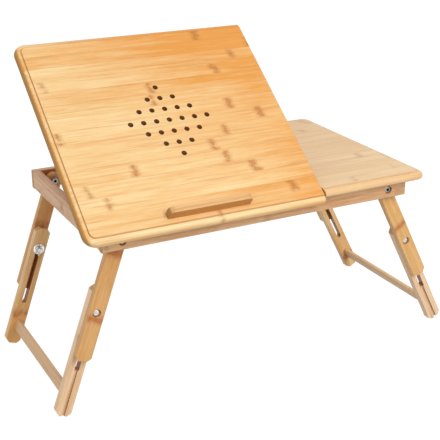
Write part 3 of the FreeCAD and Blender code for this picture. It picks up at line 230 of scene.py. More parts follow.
def build_outline_group():
    """Distance of a place to the outline of a rounded rectangle, negative inside it."""
    tree, given, result = new_group(
        "field outline", {"Place": "vector", "Middle": "vector", "Half": "vector", "Corner": "value"},
        {"Distance": "value"})
    from_middle = vector_calc(tree, "SUBTRACT", given["Place"], given["Middle"])["Vector"]
    x, y, _ = add_node(tree, "SeparateXYZ", Vector=from_middle).outputs
    half_x, half_y, _ = add_node(tree, "SeparateXYZ", Vector=given["Half"]).outputs
    past = [calc(tree, "ADD", calc(tree, "SUBTRACT", calc(tree, "ABSOLUTE", value), half), given["Corner"])
            for value, half in ((x, half_x), (y, half_y))]
    squares = [calc(tree, "POWER", calc(tree, "MAXIMUM", value, 0.0), 2.0) for value in past]
    outside = calc(tree, "SQRT", calc(tree, "ADD", *squares))
    within = calc(tree, "MINIMUM", calc(tree, "MAXIMUM", *past), 0.0)
    put(result["Distance"], calc(tree, "SUBTRACT", calc(tree, "ADD", outside, within), given["Corner"]))
    return tree


def build_edge_group():
    """Sanded arrises: the normal is rounded over a small radius, and Edge is how far it was turned."""
    tree, given, result = new_group("sanded edges", {"Radius": "value"},
                                    {"Edge": "value", "Normal": "vector"})
    rounded = add_node(tree, "Bevel", {"samples": 6}, Radius=given["Radius"])
    true = add_node(tree, "NewGeometry")
    same = vector_calc(tree, "DOT_PRODUCT", rounded.outputs["Normal"], true.outputs["Normal"])["Value"]
    put(result["Edge"], remap(tree, same, 0.995, 0.75))
    put(result["Normal"], rounded.outputs["Normal"])
    return tree


strip_place_group = build_strip_place_group()
strip_group = build_strip_group()
outline_group = build_outline_group()
edge_group = build_edge_group()


def new_material(name):
    """An empty node material; returns it and its tree."""
    material = bpy.data.materials.new(name)
    material.use_nodes = True
    material.node_tree.nodes.clear()
    return material, material.node_tree


def turned_axes(along, across):
    """The turn that brings the grain's direction to X and the strips' direction to Y."""
    first = Vector(along).normalized()
    second = Vector(across)
    second = (second - first * second.dot(first)).normalized()
    return Matrix((first, second, first.cross(second))).to_euler("XYZ")


def nearest_listed(tree, strip, places):
    """Distance along the grain to the nearest of some nodes: place, row and how faint each one is."""
    away = None
    for x, row, faint in places:
        reach = calc(tree, "ABSOLUTE", calc(tree, "SUBTRACT", strip["X"], x * MM))
        other_row = calc(tree, "ABSOLUTE", calc(tree, "SUBTRACT", strip["Row"], row))
        reach = calc(tree, "ADD", calc(tree, "ADD", reach, other_row), faint * MM)
        away = calc(tree, "MINIMUM", away, reach) if away else reach
    return away


SANDED_ARRIS = 0.8 * MM
FAR = 1.0  # metres to the nearest listed node where none is listed
PAINTED_HOLE_SHADE = (0.30, 0.095, 0.012, 1.0)  # painted shade on the walls of drilled holes
PAINTED_SLOT_SHADE = (0.38, 0.11, 0.025, 1.0)  # painted shade on the walls of milled slots


def bamboo(name, pale, deep, mark, end, along, across, strip, gap, seed, contrast=1.0, marks=0.8,
           shift=0.0, coat=0.12, tones=(), listed=(), rim=None, field=None, line=0.6, slot=0.0):
    """Lacquered bamboo; along and across say how the strips lie on the piece, shift slides them.

    Tones are soft steps (weights along, across and in the thickness, from, to, amount) that deepen the
    colour, listed are nodes at places of their own, rim is the colour of the sanded arris if it isn't
    the pale one; the pale one is a painted highlight there.  Field is the raised field in mm (from and
    to along, from and to across, corner): painted shade darkens its step as much as line says, and holes
    bored through it have painted shade on their walls.  Slot is half the width of a slot along the
    middle, whose walls get painted shade.  A wall is where the surface turns away from the board's or
    the bar's face.
    """
    material, tree = new_material(name)
    where = add_node(tree, "TexCoord")
    turn = turned_axes(along, across)
    place = add_node(tree, "Mapping", Vector=where.outputs["Object"], Rotation=turn,
                     Location=(0.0, shift, 0.0)).outputs[0]
    facing = add_node(tree, "Mapping", {"vector_type": "VECTOR"}, Vector=where.outputs["Normal"],
                      Rotation=turn)
    deeper = 0.0
    for weights, low, high, amount in tones:
        run = vector_calc(tree, "DOT_PRODUCT", place, weights)["Value"]
        deeper = calc(tree, "ADD", deeper, remap(tree, run, low, high, 0.0, amount))
    to_listed = FAR
    if listed:
        strip_place = add_node(tree, "Group", {"node_tree": strip_place_group}, Place=place,
                               Strip_Width=strip, Seed=seed)
        to_listed = nearest_listed(tree, strip_place.outputs, listed)
    strips = add_node(tree, "Group", {"node_tree": strip_group}, Place=place,
                      Facing=facing.outputs[0], Strip_Width=strip, Node_Gap=gap, Seed=seed,
                      Contrast=contrast, Mark_Strength=marks, Tone=deeper, Listed=to_listed,
                      Pale=(*pale, 1.0), Deep=(*deep, 1.0), Mark=(*mark, 1.0), End=(*end, 1.0))
    edges = add_node(tree, "Group", {"node_tree": edge_group}, Radius=SANDED_ARRIS)
    # the arris is paled towards the pale colour, a painted highlight; a given rim colour, such as the dowels'
    # dark glue line, is blended in instead at a stronger share
    glue_line_and_painted_light = blend_colours(tree, calc(tree, "MULTIPLY", edges.outputs["Edge"], 0.8 if rim else 0.25),
                         strips.outputs["Color"], (*(rim or pale), 1.0))
    if field:
        left, right, near, far, corner = (value * MM for value in field)
        distance = add_node(tree, "Group", {"node_tree": outline_group}, Place=place,
                            Middle=((left + right) / 2, (near + far) / 2, 0.0),
                            Half=((right - left) / 2, (far - near) / 2, 0.0), Corner=corner).outputs[0]
        # painted shade along the field's step, as deep as line says
        step = remap(tree, calc(tree, "ABSOLUTE", distance), 0.0003, 0.0015, line, 0.0)
        glue_line_and_painted_light = blend_colours(tree, step, glue_line_and_painted_light, (*mark, 1.0))
        # painted shade on the walls of the holes bored through the field
        upright = add_node(tree, "SeparateXYZ", Vector=facing.outputs[0]).outputs[2]
        wall = remap(tree, calc(tree, "ABSOLUTE", upright), 0.15, 0.5, 1.0, 0.0)
        wall = calc(tree, "MULTIPLY", wall, remap(tree, distance, -0.006, -0.003, 0.95, 0.0))
        glue_line_and_painted_light = blend_colours(tree, wall, glue_line_and_painted_light, PAINTED_HOLE_SHADE)
    if slot:
        # painted shade on the slot's walls
        aside = add_node(tree, "SeparateXYZ", Vector=place).outputs[1]
        turned_to_side = add_node(tree, "SeparateXYZ", Vector=facing.outputs[0]).outputs[1]
        wall = remap(tree, calc(tree, "ABSOLUTE", turned_to_side), 0.4, 0.8)
        near_slot = remap(tree, calc(tree, "ABSOLUTE", aside), slot, slot + 0.001, 0.8, 0.0)
        wall = calc(tree, "MULTIPLY", wall, near_slot)
        glue_line_and_painted_light = blend_colours(tree, wall, glue_line_and_painted_light, PAINTED_SLOT_SHADE)
    bump = add_node(tree, "Bump", Strength=0.35, Distance=0.0003, Height=strips.outputs["Height"],
                    Normal=edges.outputs["Normal"])
    shader = add_node(tree, "BsdfPrincipled", Base_Color=glue_line_and_painted_light, Roughness=strips.outputs["Roughness"],
                      Normal=bump.outputs[0])
    shader.inputs["Coat Weight"].default_value = coat
    shader.inputs["Coat Roughness"].default_value = 0.22
    shader.inputs["Specular IOR Level"].default_value = 0.35
    add_node(tree, "OutputMaterial", Surface=shader.outputs[0])
    return material


def dress(material, *names):
    """Give one material to CAD nodes."""
    for name in names:
        mesh = nodes[name].data
        mesh.materials.clear()
        mesh.materials.append(material)


RAIL_TONES = {"pale": (0.94, 0.61, 0.325), "deep": (0.47, 0.165, 0.036), "mark": (0.40, 0.14, 0.04),
              "end": (0.64, 0.36, 0.16)}
RAIL_STRIP = 14.5 * MM


def painted_inner_shade(side, place):
    """Painted shade on a face inside the frame: a darker tone, as a step at its place in the thickness."""
    return (((0, 0, side), place - 1 * MM, place + 1 * MM, 1.2),)


dress(bamboo("front rail bamboo", **RAIL_TONES, along=RIGHT, across=UP, strip=RAIL_STRIP, gap=0.23,
             seed=3.1, contrast=0.9, marks=0.35), "front_rail")
dress(bamboo("back rail bamboo", **RAIL_TONES, along=RIGHT, across=UP, strip=RAIL_STRIP, gap=0.26,
             seed=8.4, contrast=0.85, tones=painted_inner_shade(1, -0.140)), "back_rail")
dress(bamboo("left end rail bamboo", **RAIL_TONES, along=BACK, across=UP, strip=RAIL_STRIP, gap=0.21,
             seed=5.6, contrast=0.85, tones=painted_inner_shade(1, -0.257)), "left_end_rail")
dress(bamboo("right end rail bamboo", **RAIL_TONES, along=BACK, across=UP, strip=RAIL_STRIP, gap=0.21,
             seed=6.6, contrast=0.85, tones=painted_inner_shade(-1, -0.219)), "right_end_rail")
# the dowels' ends are sanded flush, a dark glue line round each
dress(bamboo("dowel bamboo", pale=(0.80, 0.50, 0.27), deep=(0.62, 0.34, 0.15), mark=(0.30, 0.12, 0.04),
             end=(0.76, 0.46, 0.24), along=BACK, across=RIGHT, strip=0.004, gap=0.3, seed=1.7,
             rim=(0.30, 0.13, 0.04)), "corner_dowels")

# ---------------------------------------------------------------------------------------------------
# Fixed side top.  A glued-up bamboo panel glued on the rails.  Its field is raised by a small step
# over the rounded rim.  The batten under the seam is screwed to it and carries the prop's right end.

BOARD_STRIP = 22.7 * MM
FIXED_TONES = (((0, 1, 0), -0.05, 0.2, 0.1),  # deeper towards the back
               ((0, -1, 0), 0.160, 0.162, 0.3))  # the near side of the rim
dress(bamboo("fixed top bamboo", pale=(0.93, 0.67, 0.37), deep=(0.78, 0.47, 0.21),
             mark=(0.45, 0.20, 0.07), end=(0.62, 0.38, 0.17), along=RIGHT, across=BACK,
             strip=BOARD_STRIP, gap=0.31, seed=12.0, contrast=0.8, marks=0.4, line=0.25,
             field=(52.0, 244.0, -161.0, 166.0, 9.0), tones=FIXED_TONES), "fixed_top")
PLAIN_TONES = {"pale": (0.76, 0.48, 0.24), "deep": (0.56, 0.30, 0.11), "mark": (0.32, 0.12, 0.04),
               "end": (0.50, 0.27, 0.10)}
dress(bamboo("batten bamboo", **PLAIN_TONES, along=BACK, across=RIGHT, strip=0.015, gap=0.2,
             seed=2.2, coat=0.0), "seam_batten")

# ---------------------------------------------------------------------------------------------------
# Tilting top.  The same panel, larger, with 25 drilled vents and a glued and screwed stop strip at
# its lower end.  The strips run from side to side; the board is painted paler at the lower left and
# deeper at the far right, as the light falls, its last strips are a deeper orange, and the nodes lie
# where each strip happened to be cut.

TILT = math.radians(37.5)
UP_SLOPE = Vector((0, math.cos(TILT), math.sin(TILT)))
LOWER_EDGE = 25.45 * MM  # the board's lower edge, up the slope from the origin
NEVER = 40.0  # a node gap longer than any piece, so that only listed nodes show
# nodes: place along the strips in mm, number of the strip, and how faint
BOARD_NODES = [(-99, 0, 3.5), (27, 1, 0), (-247, 2, 1.4), (-17, 3, -0.8), (-270, 3, 3.2), (-195, 4, 0.8),
               (-53, 4, 0.5), (-65, 5, 1.0), (-36, 6, 2.0), (-282, 7, 1.6), (31, 7, 0), (-11, 8, 0),
               (-126, 9, 2.4), (-122, 10, 2.0), (-277, 11, 3.4), (-8, 11, 0.3), (31, 12, 1.0),
               (68, 13, 0.5), (-13, 14, 0.2)]
TOP_TONES = (((1, 0.6, 0), -0.08, 0.22, 0.34),  # painted shade, deeper towards the far right
             ((0, 0, -1), -0.3208, -0.3178, 0.5),  # painted shade on the rim's underside
             ((-1, -0.3, 0), 0.0, 0.25, -0.11),  # painted light, paler towards the near left
             ((1, 0, 0), -0.02, 0.07, 0.10),  # the right side
             ((-1, 0, 0), 0.2915, 0.2940, 0.65),  # painted shade on the left end of the rim
             ((0, -1, 0), -0.0105, -0.0085, -0.45),  # painted light on the near side of the rim
             ((0, 1, 0), 13 * BOARD_STRIP - 0.001, 13 * BOARD_STRIP + 0.001, 0.20))  # the last strips
dress(bamboo("tilting top bamboo", pale=(0.93, 0.70, 0.36), deep=(0.80, 0.335, 0.058),
             mark=(0.50, 0.16, 0.028), end=(0.46, 0.25, 0.07), along=RIGHT, across=UP_SLOPE,
             strip=BOARD_STRIP, gap=NEVER, seed=0.0, shift=-LOWER_EDGE, listed=BOARD_NODES, contrast=0.8,
             marks=0.82, line=0.45, field=(-288.0, 86.5, 10.2, 337.2, 9.0), tones=TOP_TONES), "tilt_top")
stop_near = min(vertex.co.dot(UP_SLOPE) for vertex in nodes["laptop_stop"].data.vertices)
# the stop's front face, turned down the slope, is deepened: painted shade
dress(bamboo("stop strip bamboo", pale=(0.92, 0.63, 0.31), deep=(0.60, 0.25, 0.055),
             mark=(0.42, 0.16, 0.05), end=(0.44, 0.22, 0.07), along=RIGHT, across=UP_SLOPE,
             strip=0.016, gap=0.3, seed=4.4, contrast=0.8, marks=0.3,
             tones=(((0, -1, 0), -stop_near - 0.0009, -stop_near - 0.0003, 0.7),)), "laptop_stop")

# ---------------------------------------------------------------------------------------------------
# Screws.  Zinc plated countersunk wood screws with a cross recess hold the stop, the batten, the
# hinges, the prop's tracks, the drawer's guides and its knob.  Each is one turned surface from its tip
# to the middle of its head.


SMUDGE = (0.30, 0.28, 0.25, 1.0)
# the colour of painted shade in sockets and cross recesses
PAINTED_RECESS_SHADE = (0.012, 0.011, 0.01, 1.0)


def build_metal_group():
    """Handled plated metal: fine scratches one way, soft smudges, and painted shade where Recess is one."""
    tree, given, result = new_group(
        "handled metal", {"Place": "vector", "Tint": "colour", "Smudge": "value", "Recess": "value",
                          "Shine": "value"},
        {"Color": "colour", "Roughness": "value", "Height": "value"})
    scratches = stretched_noise(tree, given["Place"], (900.0, 5200.0, 900.0), 2.0)
    smudges = stretched_noise(tree, given["Place"], (260.0, 260.0, 260.0), 3.0)
    dull = calc(tree, "MULTIPLY", remap(tree, smudges, 0.42, 0.68), given["Smudge"])
    colour = blend_colours(tree, dull, given["Tint"], SMUDGE)
    # painted shade in the sockets and cross recesses
    colour = blend_colours(tree, calc(tree, "MULTIPLY", given["Recess"], 0.94), colour, PAINTED_RECESS_SHADE)
    rough = calc(tree, "ADD", given["Shine"], calc(tree, "MULTIPLY", dull, 0.3))
    rough = calc(tree, "ADD", rough, calc(tree, "MULTIPLY", scratches, 0.12))
    rough = calc(tree, "ADD", rough, calc(tree, "MULTIPLY", given["Recess"], 0.4))
    put(result["Color"], colour)
    put(result["Roughness"], rough)
    put(result["Height"], scratches)
    return tree


metal_group = build_metal_group()
FINE_ARRIS = 0.2 * MM


def plated(name, tint, shine, smudge, recess=None):
    """Plated steel; recess names the mesh attribute that is one in sockets and slots, which get painted
    shade.
    """
    material, tree = new_material(name)
    where = add_node(tree, "TexCoord")
    metal = add_node(tree, "Group", {"node_tree": metal_group}, Place=where.outputs["Object"],
                     Tint=(*tint, 1.0), Smudge=smudge, Shine=shine)
    if recess:
        dirt = add_node(tree, "Attribute", {"attribute_name": recess})
        put(metal.inputs["Recess"], dirt.outputs["Fac"])
    edges = add_node(tree, "Group", {"node_tree": edge_group}, Radius=FINE_ARRIS)
    bump = add_node(tree, "Bump", Strength=0.12, Distance=0.0001, Height=metal.outputs["Height"],
                    Normal=edges.outputs["Normal"])
    shader = add_node(tree, "BsdfPrincipled", Base_Color=metal.outputs["Color"],
                      Roughness=metal.outputs["Roughness"], Normal=bump.outputs[0])
    shader.inputs["Metallic"].default_value = 1.0
    add_node(tree, "OutputMaterial", Surface=shader.outputs[0])
    return material


def axis_frame(axis):
    """Two directions square to an axis, and the axis, as the rows of a matrix."""
    axis = np.asarray(axis, float) / np.linalg.norm(axis)
    helper = np.array([1.0, 0, 0]) if abs(axis[0]) < 0.9 else np.array([0, 0, 1.0])
    side = np.cross(axis, helper)
    side /= np.linalg.norm(side)
    return np.array([side, np.cross(axis, side), axis])


def turned(radii, rises, steps, shape=None):
    """A turned surface as a grid of points: ring number by angle, on the Z axis.

    Each ring has a radius and a rise along the axis; shape may change radius and rise by angle.
    """
    angle = np.linspace(0.0, 2 * np.pi, steps, endpoint=False)[None, :]
    radius = np.repeat(np.asarray(radii, float)[:, None], steps, axis=1)
    rise = np.repeat(np.asarray(rises, float)[:, None], steps, axis=1)
    if shape:
        radius, rise = shape(radius, rise, angle)
    return np.stack([radius * np.cos(angle), radius * np.sin(angle), rise], axis=-1)


def set_on(grid, centre, axis, spin=0.0):
    """Move a grid made on the Z axis so that its origin is at centre and Z points along axis."""
    cos, sin = math.cos(spin), math.sin(spin)
    turn = np.array([[cos, sin, 0], [-sin, cos, 0], [0, 0, 1.0]])
    return grid @ turn @ axis_frame(axis) + np.asarray(centre, float)


def grid_faces(rows, steps, start):
    """Four-sided faces between neighbouring rings, and a cap at each end, numbered from start."""
    ring, step = np.meshgrid(np.arange(rows - 1), np.arange(steps), indexing="ij")
    after = (step + 1) % steps
    quads = np.stack([ring * steps + step, ring * steps + after, (ring + 1) * steps + after,
                      (ring + 1) * steps + step], axis=-1).reshape(-1, 4) + start
    first = (np.arange(steps)[::-1] + start).tolist()
    last = (np.arange(steps) + (rows - 1) * steps + start).tolist()
    return quads.tolist() + [first, last]


SHARP_FROM = math.radians(35)


def piece(name, grids, material, body, stands_for, marks=None):
    """Make one mesh of closed grids, ride it on a body and let it stand for a CAD node.

    Marks holds one array for each grid, kept as the mesh attribute recess.
    """
    points, faces = [], []
    count = 0
    for grid in grids:
        rows, steps = grid.shape[:2]
        faces += grid_faces(rows, steps, count)
        points.append(grid.reshape(-1, 3))
        count += rows * steps
    mesh = bpy.data.meshes.new(name)
    mesh.from_pydata(np.concatenate(points).tolist(), [], faces)
    if marks is not None:
        attribute = mesh.attributes.new("recess", "FLOAT", "POINT")
        values = np.concatenate([mark.ravel() for mark in marks])
        attribute.data.foreach_set("value", values.astype(np.float32))
    mesh.shade_smooth()
    mesh.set_sharp_from_angle(angle=SHARP_FROM)
    mesh.materials.append(material)
    made = bpy.data.objects.new(name, mesh)
    bpy.context.scene.collection.objects.link(made)
    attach(made, body)
    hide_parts(stands_for)


def cad_islands(name):
    """The separate solids of a CAD node, each as an array of its points.

    Points in the same place get one label, and each edge hands the lower label of its two ends to both,
    until nothing changes.
    """
    mesh = nodes[name].data
    points = np.zeros(len(mesh.vertices) * 3)
    mesh.vertices.foreach_get("co", points)
    points = points.reshape(-1, 3)
    key = np.unique(np.round(points, 6), axis=0, return_inverse=True)[1].ravel()
    edges = np.zeros(len(mesh.edges) * 2, int)
    mesh.edges.foreach_get("vertices", edges)
    pairs = key[edges.reshape(-1, 2)]
    label = np.arange(key.max() + 1)
    changed = True
    while changed:
        low = np.minimum(label[pairs[:, 0]], label[pairs[:, 1]])
        fresh = label.copy()
        np.minimum.at(fresh, pairs[:, 0], low)
        np.minimum.at(fresh, pairs[:, 1], low)
        fresh = fresh[fresh]
        changed = not np.array_equal(fresh, label)
        label = fresh
    mine = label[key]
    return [points[mine == which] for which in np.unique(mine)]


def screw_grid(length):
    """A wood screw from tip to head, on Z with the head's rim at the origin and its dome above.

    The shank's radius follows a sawtooth that climbs round it, and the head's dome is cut by a cross
    whose depth falls to nothing at its ends.  Returns the grid and how deep in the cross a point is.
    """
    head_radius, head_high, core, steps = 2.8 * MM, 1.1 * MM, 1.5 * MM, 28
    pitch, thread_deep, dome_high = 1.28 * MM, 0.42 * MM, 0.32 * MM
    turns = np.arange(0.0, length - head_high - 2.0 * MM, pitch / 4)
    radii = [0.3 * MM, *([core] * len(turns)), core, head_radius, head_radius * 0.985]
    rises = [-length, *(-length + 1.6 * MM + turns), -head_high, -0.25 * MM, -0.02 * MM]
    rings = np.linspace(0.95, 0.02, 14)
    radii += list(head_radius * rings)
    rises += list(dome_high * (1 - rings ** 2) - 0.02 * MM)
    threaded = np.zeros(len(radii))
    threaded[2:len(turns) - 2] = 1.0
    head = np.zeros(len(radii))
    head[-len(rings):] = 1.0
    depth = {}

    def cut(radius, rise, angle):
        """Thread sawtooth on the shank, cross recess in the head."""
        climb = (rise / pitch - angle / (2 * np.pi)) % 1.0
        radius = radius - threaded[:, None] * thread_deep * np.abs(2 * climb - 1)
        one, two = radius * np.cos(angle), radius * np.sin(angle)
        half_wide, reach = 0.42 * MM, 1.75 * MM
        arms = [np.clip((half_wide - np.abs(a)) / (0.16 * MM), 0, 1)
                * np.clip((reach - np.abs(b)) / (0.8 * MM), 0, 1) for a, b in ((one, two), (two, one))]
        depth["cross"] = np.maximum(*arms) * head[:, None]
        return radius, rise - depth["cross"] * 0.95 * MM

    return turned(radii, rises, steps, cut), depth["cross"]


zinc = plated("zinc plated screws", tint=(0.60, 0.59, 0.56), shine=0.26, smudge=0.5, recess="recess")
SCREW_SINK = 0.3 * MM  # sets the head back, so that its dome ends where the CAD head does


def fit_screws(name, heads_towards, body):
    """Replace a CAD node of screws: one screw for each of its solids, head towards the direction."""
    towards = np.asarray(heads_towards, float)
    grids, marks = [], []
    for number, points in enumerate(cad_islands(name)):
        along = points @ towards
        top, bottom = along.max(), along.min()
        centre = (points.max(0) + points.min(0)) / 2
        centre = centre + towards * (top - centre @ towards)
        grid, cross = screw_grid(top - bottom)
        grids.append(set_on(grid - np.array([0, 0, SCREW_SINK]), centre, towards, spin=0.7 * number))
        marks.append(cross)
    piece(name + "_turned", grids, zinc, body, name, marks)


DOWN_FROM_SLOPE = (0, math.sin(TILT), -math.cos(TILT))
fit_screws("laptop_stop_screws", DOWN_FROM_SLOPE, "tilting_top")
fit_screws("seam_batten_screws", (0, 0, -1), "frame")

# ---------------------------------------------------------------------------------------------------
# Hinges of the tilting top.  Two small butt hinges of nickel plated sheet, rolled round a steel pin,
# screwed to the front rail's face and to the underside of the tilting top's front edge.

nickel = plated("nickel plated hinges", tint=(0.66, 0.65, 0.61), shine=0.22, smudge=0.4)
dress(nickel, "left_hinge_rail_leaf", "right_hinge_rail_leaf", "left_hinge_top_leaf", "right_hinge_top_leaf")
pin_steel = plated("hinge pin steel", tint=(0.56, 0.55, 0.53), shine=0.3, smudge=0.5)
dress(pin_steel, "left_hinge_pin", "right_hinge_pin")
fit_screws("hinge_rail_screws", (0, -1, 0), "frame")
fit_screws("hinge_top_screws", DOWN_FROM_SLOPE, "tilting_top")

# ---------------------------------------------------------------------------------------------------
# Prop of the tilting top.  A bail of 5 mm zinc plated wire, bent four times, whose bar slides along
# two slotted bamboo tracks and rests in their shallow notches.

dress(plated("zinc plated wire", tint=(0.62, 0.61, 0.59), shine=0.24, smudge=0.18), "tilt_stay")
dress(bamboo("track bamboo", **PLAIN_TONES, along=UP_SLOPE, across=DOWN_FROM_SLOPE, strip=0.013,
             gap=0.2, seed=9.7, coat=0.0), "left_stay_track", "right_stay_track")
fit_screws("stay_track_screws", DOWN_FROM_SLOPE, "tilting_top")

# ---------------------------------------------------------------------------------------------------
# Leg pivots.  M6 bolts with low domed heads and hexagon sockets sit in counterbores of the long rails,
# and chamfered nuts hold them inside the frame.


def hexagonal(share):
    """Pull rings towards a hexagon: the radius is divided by the cosine of the angle to a flat."""
    share = np.asarray(share, float)[:, None]

    def shape(radius, rise, angle):
        """Across the corners the radius is kept, between them it falls to the flats."""
        flat = math.cos(math.pi / 6) / np.cos(angle % (math.pi / 3) - math.pi / 6)
        return radius * (1 - share + share * flat), rise

    return shape


HEAD_HIGH = 3.0 * MM


def bolt_grid(length, socket, depth=2.0 * MM, thread=0.0):
    """A domed bolt on Z, the head's seat at the origin and the shank going down.

    The profile climbs out of the hexagon socket, over the dome, a quarter of an ellipse, and down the
    shank; the last stretch of the shank has a helical groove.  Returns the grid and, for each point,
    whether it is in the socket.
    """
    head_radius, shank, steps = 5.2 * MM, 2.97 * MM, 48
    angles = np.linspace(0.12, 1.0, 9) * math.pi / 2
    dome_radii = socket * 1.12 + (head_radius - socket * 1.12) * np.sin(angles)
    dome_rises = HEAD_HIGH * (0.42 + 0.58 * np.cos(angles))
    threads = np.arange(0.0, thread, 0.25 * MM)
    radii = [socket * 0.96, socket, socket, socket * 1.1, *dome_radii, head_radius * 0.99, shank]
    first_thread = len(radii)
    radii += [*([shank] * len(threads)), shank, shank * 0.75]
    rises = [HEAD_HIGH - depth, HEAD_HIGH - depth + 0.05 * depth, HEAD_HIGH - 0.15 * depth, HEAD_HIGH * 0.995,
             *dome_rises, 0.0, 0.0, *(-length + thread - threads + 0.4 * MM), -length + 0.4 * MM, -length]
    # a socket under 1 mm deep stays round: it is no more than the middle of a plain dome
    hexed = np.zeros(len(radii))
    hexed[:3] = 1.0 if depth > 1 * MM else 0.0
    hexed[3] = hexed[0] / 2
    inside = np.zeros((len(radii), steps))
    inside[:3] = hexed[0]
    groove = np.zeros(len(radii))
    groove[first_thread:first_thread + len(threads)] = 1.0
    to_hexagon = hexagonal(hexed)

    def shape(radius, rise, angle):
        """Hexagon in the socket rings, helical groove in the thread rings."""
        radius, rise = to_hexagon(radius, rise, angle)
        climb = (rise / (1.0 * MM) + angle / (2 * np.pi)) % 1.0
        return radius - groove[:, None] * 0.45 * MM * np.abs(2 * climb - 1), rise

    return turned(radii, rises, steps, shape)[::-1], inside[::-1]


def nut_grid(high):
    """A hexagon nut on Z from 0 to its height; the corners are turned off in a cone at both faces.

    The bolt fills the bore, so a flat face closes it at each end.
    """
    corner, bore = 5.7 * MM, 2.9 * MM
    radii = [bore, corner * 0.84, corner, corner, corner * 0.84, bore]
    rises = [0.0, 0.0, high * 0.16, high * 0.84, high, high]
    return turned(radii, rises, 48, hexagonal([0, 0, 1, 1, 0, 0]))


def bolt_place(low, high):
    """Where a crosswise bolt sits, from its box: the way out along Y, its head's seat, its length."""
    outward = -1.0 if (low + high)[1] < 0 else 1.0
    outer, tip = (high[1], low[1]) if outward > 0 else (low[1], high[1])
    seat = (low + high) / 2
    seat[1] = outer - outward * HEAD_HIGH
    return outward, seat, abs(seat[1] - tip)


bright = plated("bright plated bolts", tint=(0.70, 0.70, 0.69), shine=0.16, smudge=0.35, recess="recess")
# the nuts' dark tint is painted shade inside the frame
zinc_painted_shade = plated("zinc plated nuts with painted shade", tint=(0.34, 0.33, 0.31), shine=0.34, smudge=0.6)
# the pivot heads' dark tint is painted shade from their counterbores
pivot_steel_painted_shade = plated("plated bolts with painted shade", tint=(0.42, 0.42, 0.43), shine=0.2, smudge=0.4, recess="recess")
pivot_grids, pivot_marks = [], []
for points in cad_islands("pivot_bolts"):
    outward, seat, length = bolt_place(points.min(0), points.max(0))
    grid, inside = bolt_grid(length, socket=2.6 * MM)
    pivot_grids.append(set_on(grid, seat, (0, outward, 0), spin=0.4))
    pivot_marks.append(inside)
piece("pivot_bolts_domed", pivot_grids, pivot_steel_painted_shade, "frame", "pivot_bolts", pivot_marks)
nut_grids = []
for points in cad_islands("pivot_nuts"):
    low, high = points.min(0), points.max(0)
    centre = (low + high) / 2
    grid = nut_grid(high[1] - low[1])
    nut_grids.append(set_on(grid, (centre[0], low[1], centre[2]), (0, 1, 0), spin=0.3))
piece("pivot_nuts_chamfered", nut_grids, zinc_painted_shade, "frame", "pivot_nuts")

# ---------------------------------------------------------------------------------------------------
# Legs.  Each is two bamboo bars: the upper one turns on the pivot bolt, the lower one has a long slot
# and slides on the clamp bolt.  The grain runs along the bar.

SPLAYS = {"left": math.radians(19.5), "right": math.radians(-27.5)}
ENDS = ("front", "back")
UPPER_TONES = {"left": {"pale": (0.80, 0.46, 0.18), "deep": (0.62, 0.28, 0.07),
                        "mark": (0.45, 0.11, 0.02), "end": (0.66, 0.40, 0.18)},
               "right": {"pale": (0.90, 0.565, 0.235), "deep": (0.70, 0.33, 0.085),
                         "mark": (0.45, 0.13, 0.03), "end": (0.66, 0.40, 0.18)}}
LOWER_TONES = {"front": {"pale": (0.99, 0.73, 0.47), "deep": (0.80, 0.48, 0.24), "mark": (0.44, 0.16, 0.05),
                         "end": (0.70, 0.46, 0.24)},
               "back": {"pale": (0.99, 0.70, 0.38), "deep": (0.78, 0.42, 0.14), "mark": (0.46, 0.14, 0.03),
                        "end": (0.66, 0.42, 0.20)}}
# nodes of a leg: how far below the pivot, and how faint
UPPER_NODES = {"front_left": [(21, 0), (119, 0.8)], "back_left": [(73, 0.5)], "front_right": [(78, 1.5)],
               "back_right": [(120, 1)]}
LOWER_NODES = {"front_left": [(150, 1.5)], "back_left": [(221, 0)], "front_right": [],
               "back_right": [(262, 0)]}
PIVOTS = {"left": Vector((-0.2374, 0, 0.2584)), "right": Vector((0.1966, 0, 0.2584))}
SLOT_HALF = 5 * MM
for number, (side, splay) in enumerate(SPLAYS.items()):
    leg_down = Vector((-math.sin(splay), 0, -math.cos(splay)))
    leg_wide = Vector((math.cos(splay), 0, -math.sin(splay)))
    start = PIVOTS[side].dot(leg_down)
    for end in ENDS:
        name = f"{end}_{side}"
        row = 3 + 7 * number + (3 if end == "back" else 0)
        for part, tones, nodes_at in (("upper", UPPER_TONES[side], UPPER_NODES),
                                      ("lower", LOWER_TONES[end], LOWER_NODES)):
            row += 1
            listed = [(start / MM + below, row, faint) for below, faint in nodes_at[name]]
            # the back legs were cut from a length that darkens towards the foot
            foot = start + 200 * MM
            darker = (((1, 0, 0), foot - 0.04, foot + 0.03, 0.6),) if (part, end) == ("lower", "back") else ()
            dress(bamboo(f"{name} {part} leg bamboo", **tones, along=leg_down, across=leg_wide, strip=0.0265,
                         gap=NEVER, seed=row + 0.5, shift=-PIVOTS[side].dot(leg_wide), contrast=1.4,
                         listed=listed, tones=darker, slot=SLOT_HALF if part == "lower" else 0.0),
                  f"{name}_{part}_leg")
    stretcher_pale = (0.87, 0.59, 0.34) if side == "left" else (0.97, 0.67, 0.39)
    dress(bamboo(f"{side} stretcher bamboo", pale=stretcher_pale, deep=(0.70, 0.40, 0.18),
                 mark=(0.36, 0.15, 0.05), end=(0.6, 0.36, 0.17), along=BACK, across=leg_down,
                 strip=0.02, gap=0.25, seed=3.9, contrast=0.9, marks=0.4), f"{side}_stretcher")

# ---------------------------------------------------------------------------------------------------
# Clamps of the legs.  A domed M6 bolt in a counterbore, a plain washer and a cast wing nut lock each
# lower leg at its length.


def washer_grid(thick):
    """A stamped washer on Z: a flat ring whose section is a rectangle with its four corners cut.

    The bolt fills the hole, so a flat face closes it just inside each side.
    """
    outer, inner, round_off = 8.75 * MM, 3.03 * MM, thick * 0.3
    radii = [inner, inner + round_off, outer - round_off, outer, outer, outer - round_off,
             inner + round_off, inner]
    rises = [round_off, 0, 0, round_off, thick - round_off, thick, thick, thick - round_off]
    return turned(radii, rises, 48)


